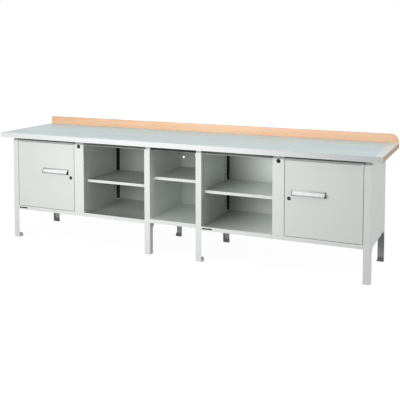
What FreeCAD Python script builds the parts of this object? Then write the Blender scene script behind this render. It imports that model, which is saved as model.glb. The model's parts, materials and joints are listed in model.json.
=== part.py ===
import FreeCAD, Part
import Sketcher
import os
import re

# Cabinet workbench: a long wooden worktop covered with sheet metal on two folded steel cupboards.
# X runs to the right, Y to the back, Z up. The origin lies on the floor under the middle of the
# worktop. The pieces of the right half are built, and those of the left half are their mirror images.

doc = FreeCAD.newDocument("CabinetWorkbench")

# Driving dimensions in millimetres. Names that end in share or count are plain numbers.
driving = {
    # worktop
    "worktop_length": 3000,
    "worktop_depth": 700,
    "worktop_height": 850,
    "board_thickness": 37,
    "cover_gauge": 1.5,
    "cover_rounding": 2,
    "ledge_height": 62,
    "ledge_thickness": 20,
    "ledge_end_setback": 3,
    "ledge_joint": 0.3,
    "ledge_corner": 50,
    "ledge_rounding": 2,
    # case
    "case_end_setback": 77,
    "case_setback": 54.5,
    "case_rear_setback": 94,
    "shadow_gap": 27.5,
    "outer_stile": 48,
    "inner_stile": 45,
    "partition_width": 84,
    "cupboard_opening": 533,
    "middle_bay": 368,
    "panel_gauge": 1.5,
    "cover_rim": 9,
    "cover_rim_gap": 3,
    "skin_gauge": 1,
    "bend_radius": 1.5,
    # legs and feet
    "leg_height": 230,
    "leg_depth": 45,
    "rear_leg_depth": 22,
    "gusset_depth": 42,
    "gusset_height": 33,
    "foot_plate": 3,
    "foot_overhang": 5,
    "foot_insert_width": 44,
    "foot_insert_height": 22,
    "rear_insert_depth": 18,
    # inner walls and their slots
    "wall_rear_gap": 61,
    "wall_lip": 14,
    "slot_setback": 40.5,
    "rear_slot_setback": 35,
    "slot_width": 10,
    "slot_height": 20,
    "slot_pitch": 35,
    "first_slot": 51,
    "slot_count": 13,
    # floors
    "floor_lip": 28,
    "lip_slot_length": 78,
    "lip_slot_height": 10,
    "lip_slot_edge": 5,
    # shelves and clips
    "shelf_setback": 60,
    "shelf_lip": 21,
    "shelf_side_gap": 1,
    "shelf_rear_gap": 5,
    "shelf_step_count": 5,
    "clip_gauge": 1.5,
    "clip_width": 8,
    "clip_reach": 12,
    "clip_height": 15,
    "clip_hook": 4,
    "clip_gap": 0.2,
    # middle bay
    "middle_floor_lift": 10.5,
    "middle_floor_lip": 28.5,
    "middle_shelf_lift": 320,
    "middle_shelf_setback": 80,
    "middle_top_lip": 25,
    "cable_hole": 19,
    "cable_hole_edge": 17,
    "cable_hole_height": 648,
    "wall_hole": 8,
    "wall_hole_rear": 68,
    "wall_hole_height": 656,
    # doors
    "door_gap": 3,
    "door_depth": 20,
    "door_rounding": 2,
    "door_lip": 12,
    "stiffener_edge": 150,
    "stiffener_width": 60,
    "stiffener_flange": 12,
    "stiffener_depth": 16,
    "stiffener_end": 24,
    # hinge pins
    "pin_diameter": 6,
    "pin_side_inset": 10,
    "pin_front_inset": 7,
    "pin_collar": 13,
    "pin_collar_gap": 0.3,
    "pin_flange": 10,
    "pin_flange_height": 6,
    "pin_reach": 3,
    "running_clearance": 0.08,
    "fixed_clearance": 0.1,
    # handles
    "handle_length": 228,
    "handle_centre": 360,
    "handle_level": 562,
    "handle_height": 44,
    "handle_back_gauge": 2.5,
    "handle_ridge": 5,
    "handle_ridge_drop": 10,
    "handle_seat_top": 7,
    "handle_seat_run": 17,
    "handle_seat_drop": 20,
    "handle_reach": 28,
    "handle_blade_gauge": 2.6,
    "handle_cap": 2.5,
    "insert_gauge": 1.2,
    "insert_margin": 0.5,
    # locks
    "lock_inset": 30,
    "lock_level": 520,
    "lock_collar": 26,
    "lock_collar_height": 2,
    "lock_barrel": 18,
    "lock_barrel_length": 18,
    "lock_core": 14,
    "lock_shank": 8,
    "lock_rivet": 11,
    "lock_rivet_height": 2,
    "key_slot_length": 9,
    "key_slot_width": 1.8,
    "key_slot_depth": 3,
    "cam_gauge": 2.5,
    "cam_width": 16,
    "cam_reach": 42,
    "cam_back_gap": 1,
    "cam_clearance": 3,
    # plugs in the broad stiles
    "plug_head": 29,
    "plug_head_height": 2,
    "plug_stem": 12,
    "plug_stem_length": 8,
    "plug_drop": 13,
    # channels that carry the worktop
    "channel_setback": 10,
    "side_channel_width": 40,
    "partition_channel_width": 80,
    "channel_screw_inset": 60,
    # fasteners
    "screw_diameter": 5,
    "screw_head": 11,
    "screw_head_height": 3,
    "screw_bite": 24,
    "ledge_screw_count": 8,
    "ledge_screw_inset": 97,
    "ledge_screw_head": 9,
    "ledge_screw_sink": 5,
    "ledge_screw_bite": 35,
    "bolt_diameter": 6,
    "bolt_head": 11,
    "bolt_head_height": 3,
    "bolt_length": 12,
    "bolt_inset": 75,
    # length by which every cut runs past the faces that it opens
    "overrun": 2,
}

# Places that follow from the driving dimensions; right half, seen from the middle.
derived = {
    "half_length": "worktop_length / 2",
    "worktop_front": "-worktop_depth / 2",
    "worktop_rear": "worktop_depth / 2",
    "board_top": "worktop_height - cover_gauge",
    "board_under": "board_top - board_thickness",
    "ledge_end": "half_length - ledge_end_setback",
    "ledge_front": "worktop_rear - ledge_thickness",
    "sheet_rear": "ledge_front - ledge_joint",
    "ledge_top": "worktop_height + ledge_height",
    "first_ledge_screw": "ledge_screw_inset - ledge_end",
    "ledge_screw_pitch": "-2 * first_ledge_screw / (ledge_screw_count - 1)",
    "case_front": "worktop_front + case_setback",
    "case_rear": "worktop_rear - case_rear_setback",
    "case_top": "board_under - shadow_gap",
    "cover_under": "case_top - panel_gauge",
    "outer_face": "half_length - case_end_setback",
    "outer_edge": "outer_face - outer_stile",
    "inner_face": "middle_bay / 2",
    "inner_edge": "inner_face + inner_stile",
    "partition_outer": "outer_edge - cupboard_opening",
    "partition_inner": "partition_outer - partition_width",
    "partition_middle": "partition_outer - partition_width / 2",
    "front_inside": "case_front + panel_gauge",
    "rear_inside": "case_rear - panel_gauge",
    "back_front": "rear_inside - skin_gauge",
    "floor_top": "leg_height + floor_lip",
    "wall_rear": "case_rear - wall_rear_gap",
    "front_slot": "case_front + slot_setback",
    "rear_slot": "wall_rear - rear_slot_setback",
    "lowest_slot": "floor_top + first_slot",
    "clip_seat": "lowest_slot + shelf_step_count * slot_pitch - slot_height / 2",
    "shelf_under": "clip_seat + clip_height",
    "shelf_top": "shelf_under + shelf_lip",
    "shelf_front": "case_front + shelf_setback",
    "shelf_rear": "wall_rear - shelf_rear_gap",
    "middle_floor_under": "leg_height + middle_floor_lift",
    "middle_floor_top": "middle_floor_under + middle_floor_lip",
    "middle_shelf_under": "leg_height + middle_shelf_lift",
    "middle_shelf_top": "middle_shelf_under + shelf_lip",
    "middle_shelf_front": "case_front + middle_shelf_setback",
    "middle_top_under": "cover_under - middle_top_lip",
    "door_bottom": "floor_top + door_gap",
    "door_top": "cover_under - door_gap",
    "door_outer": "outer_edge - door_gap",
    "door_inner": "partition_outer + door_gap",
    "door_back": "case_front + door_depth",
    "hinge_x": "door_outer - pin_side_inset",
    "hinge_y": "case_front + pin_front_inset",
    "handle_x": "door_outer - handle_centre",
    "handle_left": "handle_x - handle_length / 2",
    "handle_right": "handle_x + handle_length / 2",
    "handle_top": "handle_level + handle_height / 2",
    "handle_bottom": "handle_level - handle_height / 2",
    "handle_back": "case_front - handle_back_gauge",
    "seat_top_y": "case_front - handle_seat_top",
    "seat_top_z": "handle_top - handle_ridge_drop",
    "seat_slope": "sqrt(handle_seat_run ^ 2 + handle_seat_drop ^ 2)",
    "seat_end_y": "seat_top_y - handle_seat_run",
    "seat_end_z": "seat_top_z - handle_seat_drop",
    "blade_drop": "handle_blade_gauge * seat_slope / handle_seat_run",
    "blade_rise": "handle_seat_drop * (handle_back - seat_end_y) / handle_seat_run",
    "nose_y": "case_front - handle_reach",
    "lock_x": "door_inner + lock_inset",
    "lock_wall": "lock_x - partition_outer",
    "lock_front": "case_front - lock_collar_height",
    "cam_front": "door_back + cam_back_gap",
    "cam_rear": "cam_front + cam_gauge",
    "cam_radius": "sqrt(cam_reach ^ 2 + (cam_width / 2) ^ 2)",
    "cam_rise": "sqrt(cam_radius ^ 2 - lock_wall ^ 2)",
    "plug_level": "cover_under - plug_drop",
    "channel_front": "case_front + channel_setback",
    "channel_rear": "case_rear - channel_setback",
    "side_channel_middle": "outer_face - side_channel_width / 2",
    "inner_channel_middle": "inner_face + side_channel_width / 2",
    "screw_hole": "screw_diameter / 2 + fixed_clearance",
    "bolt_hole": "bolt_diameter / 2 + fixed_clearance",
    "floor_bolt_level": "middle_floor_under + middle_floor_lip / 2",
    "shelf_bolt_level": "middle_shelf_under + shelf_lip / 2",
    "top_bolt_level": "cover_under - middle_top_lip / 2",
}


def linked(text, home=""):
    """Put the name of its sheet before every alias in a formula."""
    def with_sheet(found):
        word = found.group(0)
        if word in driving:
            return "Sizes." + word
        if word in derived and home != "Places":
            return "Places." + word
        return word
    return re.sub("[a-z_]+", with_sheet, text)


sizes = doc.addObject("Spreadsheet::Sheet", "Sizes")
for row, (alias, value) in enumerate(driving.items(), start=1):
    sizes.set(f"A{row}", alias)
    sizes.set(f"B{row}", str(value))
    sizes.setAlias(f"B{row}", alias)
doc.recompute()

places = doc.addObject("Spreadsheet::Sheet", "Places")
for row, (alias, formula) in enumerate(derived.items(), start=1):
    places.set(f"A{row}", alias)
    places.set(f"B{row}", "=" + linked(formula, "Places"))
    places.setAlias(f"B{row}", alias)
    doc.recompute()


def number(text):
    """Value of a formula, in millimetres."""
    value = sizes.evalExpression(linked(text))
    return float(getattr(value, "Value", value))


def bind(item, target, text):
    item.setExpression(target, linked(text))


# Primitives and booleans

def block(name, x, y, z):
    """A box between pairs of formulas."""
    item = doc.addObject("Part::Box", name)
    for size, axis, (low, high) in zip(("Length", "Width", "Height"), "xyz", (x, y, z)):
        bind(item, size, f"({high}) - ({low})")
        bind(item, "Placement.Base." + axis, low)
    return item


turns = {
    "x": FreeCAD.Rotation(FreeCAD.Vector(0, 1, 0), 90),
    "y": FreeCAD.Rotation(FreeCAD.Vector(1, 0, 0), -90),
    "z": FreeCAD.Rotation(),
}


def rod(name, along, radius, low, high, **centre):
    """A cylinder along one axis, between two levels, at the two other coordinates."""
    item = doc.addObject("Part::Cylinder", name)
    item.Placement = FreeCAD.Placement(FreeCAD.Vector(), turns[along])
    bind(item, "Radius", radius)
    bind(item, "Height", f"({high}) - ({low})")
    bind(item, "Placement.Base." + along, low)
    for axis, text in centre.items():
        bind(item, "Placement.Base." + axis, text)
    return item


def fuse(name, pieces):
    item = doc.addObject("Part::MultiFuse", name)
    item.Shapes = pieces
    return item


def group(name, pieces):
    item = doc.addObject("Part::Compound", name)
    item.Links = pieces
    return item


def cut(name, base, tools):
    item = doc.addObject("Part::Cut", name)
    item.Base = base
    item.Tool = tools[0] if len(tools) == 1 else group(name + "_tools", tools)
    return item


def mirror(name, source):
    item = doc.addObject("Part::Mirroring", name)
    item.Source = source
    item.Normal = FreeCAD.Vector(1, 0, 0)
    return item


# Bodies with sketches

def rectangle(low_across, high_across, low_up, high_up):
    return [(low_across, low_up), (high_across, low_up), (high_across, high_up), (low_across, high_up)]


def sketch(owner, name, role, level, outlines, circles):
    """A sketch on an origin plane moved to a level, every corner tied to the sheets."""
    item = owner.newObject("Sketcher::SketchObject", name)
    plane = next(feature for feature in owner.Origin.OriginFeatures if feature.Role == role)
    item.AttachmentSupport = [(plane, "")]
    item.MapMode = "FlatFace"
    bind(item, "AttachmentOffset.Base.z", f"-({level})" if role == "XZ_Plane" else level)
    ties = []
    for corners in outlines:
        first = item.GeometryCount
        spots = [FreeCAD.Vector(number(across), number(up), 0) for across, up in corners]
        last = len(corners) - 1
        following = spots[1:] + spots[:1]
        item.addGeometry([Part.LineSegment(start, end) for start, end in zip(spots, following)])
        for index in range(len(corners)):
            after = first if index == last else first + index + 1
            item.addConstraint(Sketcher.Constraint("Coincident", first + index, 2, after, 1))
        for index, (corner, spot) in enumerate(zip(corners, spots)):
            ties.append(("DistanceX", first + index, 1, spot.x, corner[0]))
            ties.append(("DistanceY", first + index, 1, spot.y, corner[1]))
    for across, up, radius in circles:
        index = item.GeometryCount
        spot = FreeCAD.Vector(number(across), number(up), 0)
        item.addGeometry(Part.Circle(spot, FreeCAD.Vector(0, 0, 1), number(radius)))
        ties.append(("DistanceX", index, 3, spot.x, across))
        ties.append(("DistanceY", index, 3, spot.y, up))
        place = item.addConstraint(Sketcher.Constraint("Radius", index, number(radius)))
        bind(item, f"Constraints[{place}]", radius)
    start = item.ConstraintCount
    item.addConstraint([Sketcher.Constraint(kind, -1, 1, line, end, value)
                        for kind, line, end, value, text in ties])
    for index, tie in enumerate(ties, start=start):
        bind(item, f"Constraints[{index}]", tie[4])
    return item


def pad(owner, name, role, level, length, outlines):
    """Material from a level along the positive axis."""
    item = owner.newObject("PartDesign::Pad", name)
    item.Profile = sketch(owner, name + "_sketch", role, level, outlines, [])
    item.Reversed = role == "XZ_Plane"
    bind(item, "Length", length)
    owner.Tip = item
    doc.recompute()
    return item


def pocket(owner, name, role, level, length, outlines=(), circles=()):
    """A cut from a level along the positive axis; it has to take something away."""
    before = owner.Tip.Shape.Volume
    item = owner.newObject("PartDesign::Pocket", name)
    item.Profile = sketch(owner, name + "_sketch", role, level, outlines, circles)
    item.Reversed = role != "XZ_Plane"
    bind(item, "Length", length)
    owner.Tip = item
    doc.recompute()
    if not item.Shape.Volume < before:
        raise RuntimeError(name + " cuts nothing")
    return item


def pattern(owner, name, original, direction, length, count):
    """Copies of a pocket along an axis of its sketch."""
    item = owner.newObject("PartDesign::LinearPattern", name)
    item.Originals = [original]
    item.Direction = (original.Profile[0], [direction])
    bind(item, "Length", length)
    bind(item, "Occurrences", count)
    owner.Tip = item
    doc.recompute()
    return item


match = 0.001


def round_off(owner, name, radius, **at):
    """A fillet on every edge that lies at the given coordinates."""
    base = owner.Tip
    chosen = []
    for index, edge in enumerate(base.Shape.Edges, start=1):
        box = edge.BoundBox
        ends = {"x": (box.XMin, box.XMax), "y": (box.YMin, box.YMax), "z": (box.ZMin, box.ZMax)}
        if all(abs(value - number(text)) < match for axis, text in at.items() for value in ends[axis]):
            chosen.append(f"Edge{index}")
    item = owner.newObject("PartDesign::Fillet", name)
    item.Base = (base, chosen)
    bind(item, "Radius", radius)
    owner.Tip = item
    doc.recompute()
    return item


def body(name):
    return doc.addObject("PartDesign::Body", name)


nodes = []


def keep(item, label):
    """Make an object one of the sub-parts that are handed in."""
    item.Label = label
    nodes.append(item)
    return item


def keep_pair(item, label):
    """A sub-part of the right half and its mirror image."""
    keep(item, label + "_right")
    keep(mirror(label + "_mirrored", item), label + "_left")


# Places of the fasteners

channel_middles = ["side_channel_middle", "partition_middle", "inner_channel_middle"]
channel_screw_rows = [
    "channel_front + channel_screw_inset",
    "(channel_front + channel_rear) / 2",
    "channel_rear - channel_screw_inset",
]


def worktop_screw_rods(name, radius, low, high):
    """One rod at every screw that holds the worktop, right half."""
    rods = []
    for middle in channel_middles:
        for row in channel_screw_rows:
            rods.append(rod(f"{name}_{len(rods) + 1}", "z", radius, low, high, x=middle, y=row))
    return rods


ledge_screw_spots = [
    f"first_ledge_screw + {index} * ledge_screw_pitch"
    for index in range(driving["ledge_screw_count"])
]
ledge_middle = "worktop_rear - ledge_thickness / 2"

# Bolts that hold the shelf, floor and top of the middle bay to the inner side panels.
side_bolt_spots = [
    (row, level)
    for level, front in (
        ("floor_bolt_level", "case_front"),
        ("shelf_bolt_level", "middle_shelf_front"),
        ("top_bolt_level", "case_front"),
    )
    for row in (front + " + bolt_inset", "back_front - bolt_inset")
]

# Bolts that hold the back panels: three levels in each rear flange.
back_bolt_levels = ["leg_height + bolt_inset", "(leg_height + cover_under) / 2", "cover_under - bolt_inset"]
back_bolt_columns = ["outer_face - outer_stile / 2", "inner_face + inner_stile / 2"]
middle_back_bolts = [
    (column, level)
    for level in ("floor_bolt_level", "top_bolt_level")
    for column in ("-inner_face + bolt_inset", "inner_face - bolt_inset")
]


# Worktop: board, sheet cover, rear ledge

def worktop_board():
    board = block("board_blank", ("-half_length", "half_length"),
                  ("worktop_front + cover_gauge", "worktop_rear"), ("board_under", "board_top"))
    top = "board_under + screw_bite + fixed_clearance"
    rods = worktop_screw_rods("board_pilot", "screw_hole", "board_under - overrun", top)
    pilots = group("board_pilots", rods)
    tools = [pilots, mirror("board_pilots_left", pilots)]
    for index, spot in enumerate(ledge_screw_spots):
        tools.append(rod(f"ledge_shank_hole_{index}", "z", "screw_hole", "board_under - overrun",
                         "board_top + overrun", x=spot, y=ledge_middle))
        tools.append(rod(f"ledge_head_hole_{index}", "z", "ledge_screw_head / 2 + fixed_clearance",
                         "board_under - overrun", "board_under + ledge_screw_sink", x=spot, y=ledge_middle))
    keep(cut("board", board, tools), "worktop_board")


def worktop_sheet():
    """Sheet over the board as far as the ledge, folded down over the front edge."""
    owner = body("sheet_body")
    pad(owner, "sheet_fold", "YZ_Plane", "-half_length", "worktop_length", [[
        ("worktop_front", "board_under"),
        ("worktop_front + cover_gauge", "board_under"),
        ("worktop_front + cover_gauge", "board_top"),
        ("sheet_rear", "board_top"),
        ("sheet_rear", "worktop_height"),
        ("worktop_front", "worktop_height"),
    ]])
    round_off(owner, "sheet_bend", "cover_rounding", y="worktop_front", z="worktop_height")
    keep(owner, "worktop_sheet")


def rear_ledge():
    """Upright wooden strip on the board's rear edge; only its right top corner is rounded."""
    owner = body("ledge_body")
    pad(owner, "ledge_strip", "XZ_Plane", "ledge_front", "ledge_thickness",
        [rectangle("-ledge_end", "ledge_end", "board_top", "ledge_top")])
    round_off(owner, "ledge_round_corner", "ledge_corner", x="ledge_end", z="ledge_top")
    round_off(owner, "ledge_front_edge", "ledge_rounding", y="ledge_front", z="ledge_top")
    pocket(owner, "ledge_pilots", "XY_Plane", "board_top - overrun",
           "overrun + ledge_screw_bite + fixed_clearance",
           circles=[(spot, ledge_middle, "screw_hole") for spot in ledge_screw_spots])
    keep(owner, "rear_ledge")


def ledge_screws():
    screws = []
    for index, spot in enumerate(ledge_screw_spots):
        head = rod(f"ledge_head_{index}", "z", "ledge_screw_head / 2",
                   "board_under + ledge_screw_sink - screw_head_height", "board_under + ledge_screw_sink",
                   x=spot, y=ledge_middle)
        shank = rod(f"ledge_shank_{index}", "z", "screw_diameter / 2",
                    "board_under + ledge_screw_sink - screw_head_height",
                    "board_top + ledge_screw_bite", x=spot, y=ledge_middle)
        screws.append(fuse(f"ledge_screw_{index}", [head, shank]))
    keep(group("ledge_screw_group", screws), "ledge_screws")


def worktop_screws():
    """Screws from below through the top covers and the channels into the board."""
    low = "cover_under - screw_head_height"
    heads = worktop_screw_rods("worktop_head", "screw_head / 2", low, "cover_under")
    shanks = worktop_screw_rods("worktop_shank", "screw_diameter / 2", low, "board_under + screw_bite")
    screws = [fuse(f"worktop_screw_{index}", [head, shank])
              for index, (head, shank) in enumerate(zip(heads, shanks))]
    right = group("worktop_screws_right", screws)
    keep(group("worktop_screw_group", [right, mirror("worktop_screws_left", right)]), "worktop_screws")


def bearing_channels():
    """Channels, open below and closed in front, that lift the worktop off the top covers."""
    spans = {
        "outer_channel": ("outer_face - side_channel_width", "outer_face"),
        "partition_channel": ("partition_middle - partition_channel_width / 2",
                              "partition_middle + partition_channel_width / 2"),
        "inner_channel": ("inner_face", "inner_face + side_channel_width"),
    }
    for (label, (low, high)), middle in zip(spans.items(), channel_middles):
        owner = body(label + "_body")
        pad(owner, label + "_fold", "XZ_Plane", "channel_front", "channel_rear - channel_front", [[
            (low, "case_top"),
            (f"{low} + panel_gauge", "case_top"),
            (f"{low} + panel_gauge", "board_under - panel_gauge"),
            (f"{high} - panel_gauge", "board_under - panel_gauge"),
            (f"{high} - panel_gauge", "case_top"),
            (high, "case_top"),
            (high, "board_under"),
            (low, "board_under"),
        ]])
        pad(owner, label + "_front", "XZ_Plane", "channel_front", "panel_gauge",
            [rectangle(low, high, "case_top", "board_under")])
        round_off(owner, label + "_bend_low", "bend_radius", x=low, z="board_under")
        round_off(owner, label + "_bend_high", "bend_radius", x=high, z="board_under")
        pocket(owner, label + "_holes", "XY_Plane", "board_under - panel_gauge - overrun",
               "panel_gauge + 2 * overrun",
               circles=[(middle, row, "screw_hole") for row in channel_screw_rows])
        keep_pair(owner, label)


# Cupboards: side panels with legs, partitions, inner walls

def side_panel(label, face, edge, inward, back_bolt_column):
    """A folded panel whose flanges are the stiles and whose corners run down as legs."""
    inside = f"{face} {inward} panel_gauge"
    owner = body(label + "_body")
    pad(owner, label + "_fold", "XY_Plane", "foot_plate", "cover_under - foot_plate", [[
        (face, "case_front"),
        (edge, "case_front"),
        (edge, "front_inside"),
        (inside, "front_inside"),
        (inside, "rear_inside"),
        (edge, "rear_inside"),
        (edge, "case_rear"),
        (face, "case_rear"),
    ]])
    round_off(owner, label + "_front_bend", "bend_radius + panel_gauge", x=face, y="case_front")
    round_off(owner, label + "_rear_bend", "bend_radius + panel_gauge", x=face, y="case_rear")
    round_off(owner, label + "_front_inner_bend", "bend_radius", x=inside, y="front_inside")
    round_off(owner, label + "_rear_inner_bend", "bend_radius", x=inside, y="rear_inside")
    front = "case_front + leg_depth"
    rear = "case_rear - rear_leg_depth"
    low, high = (f"{face} - panel_gauge", face) if inward == "-" else (face, f"{face} + panel_gauge")
    pocket(owner, label + "_leg_window", "YZ_Plane", f"{low} - overrun", "panel_gauge + 2 * overrun", [[
        (front, "foot_plate - overrun"),
        (rear, "foot_plate - overrun"),
        (rear, "leg_height - gusset_height"),
        (f"{rear} - gusset_depth", "leg_height"),
        (f"{front} + gusset_depth", "leg_height"),
        (front, "leg_height - gusset_height"),
    ]])
    through = "panel_gauge + 2 * overrun"
    pocket(owner, label + "_back_bolt_holes", "XZ_Plane", "rear_inside - overrun", through,
           circles=[(back_bolt_column, level, "bolt_hole") for level in back_bolt_levels])
    if face == "inner_face":
        holes = [(row, level, "bolt_hole") for row, level in side_bolt_spots]
        holes.append(("case_rear - wall_hole_rear", "wall_hole_height", "wall_hole / 2"))
        pocket(owner, label + "_side_bolt_holes", "YZ_Plane", f"{low} - overrun", through, circles=holes)
    keep_pair(owner, label)


def slot_rows(owner, name, low, high):
    """Two rows of shelf slots through everything between two levels of X."""
    half = "slot_width / 2"
    rows = [rectangle(f"{middle} - {half}", f"{middle} + {half}",
                      "lowest_slot - slot_height / 2", "lowest_slot + slot_height / 2")
            for middle in ("front_slot", "rear_slot")]
    first = pocket(owner, name, "YZ_Plane", f"{low} - overrun", f"{high} - ({low}) + 2 * overrun", rows)
    pattern(owner, name + "_rows", first, "V_Axis", "(slot_count - 1) * slot_pitch", "slot_count")


def partition():
    """Broad folded post between the cupboard and the open bay."""
    owner = body("partition_body")
    pad(owner, "partition_fold", "XY_Plane", "leg_height", "cover_under - leg_height", [[
        ("partition_inner", "case_front"),
        ("partition_outer", "case_front"),
        ("partition_outer", "wall_rear"),
        ("partition_outer - panel_gauge", "wall_rear"),
        ("partition_outer - panel_gauge", "front_inside"),
        ("partition_inner + panel_gauge", "front_inside"),
        ("partition_inner + panel_gauge", "wall_rear"),
        ("partition_inner", "wall_rear"),
    ]])
    for index, edge in enumerate(("partition_inner", "partition_outer")):
        round_off(owner, f"partition_bend_{index}", "bend_radius + panel_gauge", x=edge, y="case_front")
    slot_rows(owner, "partition_slots", "partition_inner", "partition_outer")
    pocket(owner, "partition_lock_slot", "YZ_Plane", "partition_outer - panel_gauge - overrun",
           "panel_gauge + 2 * overrun",
           [rectangle("cam_front - cam_clearance", "cam_rear + cam_clearance",
                      "lock_level - cam_rise - cam_clearance",
                      "lock_level + cam_width / 2 + cam_clearance")])
    pocket(owner, "partition_plug_hole", "XZ_Plane", "case_front - overrun", "panel_gauge + 2 * overrun",
           circles=[("partition_middle", "plug_level", "plug_stem / 2 + fixed_clearance")])
    keep_pair(owner, "partition")


def shelf_wall(label, edge, outward, far_side):
    """Slotted inner wall behind a side panel's stile; its rear lip reaches the side panel."""
    outside = f"{edge} {outward} skin_gauge"
    owner = body(label + "_body")
    pad(owner, label + "_fold", "XY_Plane", "leg_height", "cover_under - leg_height", [[
        (edge, "front_inside"),
        (f"{edge} {outward} wall_lip", "front_inside"),
        (f"{edge} {outward} wall_lip", "front_inside + skin_gauge"),
        (outside, "front_inside + skin_gauge"),
        (outside, "wall_rear - skin_gauge"),
        (far_side, "wall_rear - skin_gauge"),
        (far_side, "wall_rear"),
        (edge, "wall_rear"),
    ]])
    low, high = (edge, outside) if outward == "+" else (outside, edge)
    slot_rows(owner, label + "_slots", low, high)
    keep_pair(owner, label)


# Pans: floors and shelves are sheets folded down on all four sides

def pan(name, x, y, z, gauge):
    owner = body(name + "_body")
    pad(owner, name + "_blank", "XY_Plane", z[0], f"({z[1]}) - ({z[0]})", [rectangle(*x, *y)])
    round_off(owner, name + "_front_bend", f"bend_radius + {gauge}", y=y[0], z=z[1])
    depth = f"({z[1]}) - ({z[0]}) - {gauge} + overrun"
    pocket(owner, name + "_hollow", "XY_Plane", f"{z[0]} - overrun", depth,
           [rectangle(f"{x[0]} + {gauge}", f"{x[1]} - {gauge}", f"{y[0]} + {gauge}", f"{y[1]} - {gauge}")])
    return owner


def lip_slot(owner, name, low):
    """Slot in a floor's front lip."""
    middle = "(leg_height + floor_top) / 2"
    pocket(owner, name, "XZ_Plane", "case_front - overrun", "panel_gauge + 2 * overrun",
           [rectangle(low, f"{low} + lip_slot_length",
                      f"{middle} - lip_slot_height / 2", f"{middle} + lip_slot_height / 2")])


def floor(name, x, slot_from=None, hinge=False):
    owner = pan(name, x, ("case_front", "back_front"), ("leg_height", "floor_top"), "panel_gauge")
    if slot_from:
        lip_slot(owner, name + "_lip_slot", slot_from)
    if hinge:
        pocket(owner, name + "_hinge_hole", "XY_Plane", "floor_top - panel_gauge - overrun",
               "panel_gauge + 2 * overrun",
               circles=[("hinge_x", "hinge_y", "pin_diameter / 2 + running_clearance")])
    return owner


def floors():
    """Only the floor at the left end of each half has a slot in its front lip."""
    cupboard = ("partition_outer", "outer_edge")
    bay = ("inner_edge", "partition_inner")
    keep(floor("cupboard_floor", cupboard, hinge=True), "cupboard_floor_right")
    slotted = floor("slotted_cupboard_floor", cupboard,
                    "outer_edge - lip_slot_edge - lip_slot_length", hinge=True)
    keep(mirror("cupboard_floor_mirrored", slotted), "cupboard_floor_left")
    keep(floor("slotted_bay_floor", bay, "inner_edge + lip_slot_edge"), "bay_floor_right")
    keep(mirror("bay_floor_mirrored", floor("bay_floor", bay)), "bay_floor_left")


def shelves():
    spans = {
        "cupboard_shelf": ("partition_outer", "outer_edge"),
        "bay_shelf": ("inner_edge", "partition_inner"),
    }
    y = ("shelf_front", "shelf_rear")
    z = ("shelf_under", "shelf_top")
    for label, (low, high) in spans.items():
        x = (f"{low} + shelf_side_gap", f"{high} - shelf_side_gap")
        keep_pair(pan(label, x, y, z, "skin_gauge"), label)


def shelf_clips():
    """Bent clips, hooked through the wall slots, that carry the shelves at their corners."""
    clips = []
    for wall, inward, gauge in (
        ("partition_outer", "+", "panel_gauge"),
        ("outer_edge", "-", "skin_gauge"),
        ("partition_inner", "-", "panel_gauge"),
        ("inner_edge", "+", "skin_gauge"),
    ):
        outward = "-" if inward == "+" else "+"
        face = f"{wall} {inward} clip_gap"
        behind = f"{wall} {outward} ({gauge} + clip_gap)"
        for row in ("front_slot", "rear_slot"):
            name = f"clip_{len(clips) + 1}"
            y = (f"{row} - clip_width / 2", f"{row} + clip_width / 2")
            spans = {
                "leaf": (face, f"{face} {inward} clip_gauge", "clip_seat", "shelf_under"),
                "tab": (face, f"{wall} {inward} clip_reach", "shelf_under - clip_gauge", "shelf_under"),
                "neck": (f"{behind} {outward} clip_gauge", f"{face} {inward} clip_gauge",
                         "clip_seat", "clip_seat + clip_gauge"),
                "hook": (f"{behind} {outward} clip_gauge", behind, "clip_seat - clip_hook",
                         "clip_seat + clip_gauge"),
            }
            pieces = []
            for part_name, (near, far, low, high) in spans.items():
                x = (near, far) if number(near) < number(far) else (far, near)
                pieces.append(block(f"{name}_{part_name}", x, y, (low, high)))
            clips.append(fuse(name, pieces))
    right = group("clips_right", clips)
    keep(group("clip_group", [right, mirror("clips_left", right)]), "shelf_clips")


def top_cover():
    """Flat cover with a low rim along its front edge, above the door."""
    flat = block("cover_flat", ("inner_face", "outer_face"), ("case_front", "case_rear"),
                 ("cover_under", "case_top"))
    rim = block("cover_front_rim", ("partition_outer + cover_rim_gap", "outer_edge - cover_rim_gap"),
                ("case_front", "front_inside"), ("cover_under", "case_top + cover_rim"))
    sheet = fuse("cover_sheet", [flat, rim])
    tools = worktop_screw_rods("cover_hole", "screw_hole", "cover_under - overrun", "case_top + overrun")
    tools.append(rod("cover_hinge_hole", "z", "pin_diameter / 2 + running_clearance",
                     "cover_under - overrun", "case_top + overrun", x="hinge_x", y="hinge_y"))
    keep_pair(cut("cover", sheet, tools), "top_cover")


def back_panel():
    side = ("inner_face + panel_gauge + bend_radius", "outer_face - panel_gauge - bend_radius")
    sheet = block("back_sheet", side, ("back_front", "rear_inside"), ("leg_height", "cover_under"))
    tools = []
    for column in range(2):
        for row in range(3):
            tools.append(rod(f"back_hole_{column}_{row}", "y", "bolt_hole", "back_front - overrun",
                             "rear_inside + overrun", x=back_bolt_columns[column], z=back_bolt_levels[row]))
    keep_pair(cut("back", sheet, tools), "back_panel")


# Middle bay between the two cupboards

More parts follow.
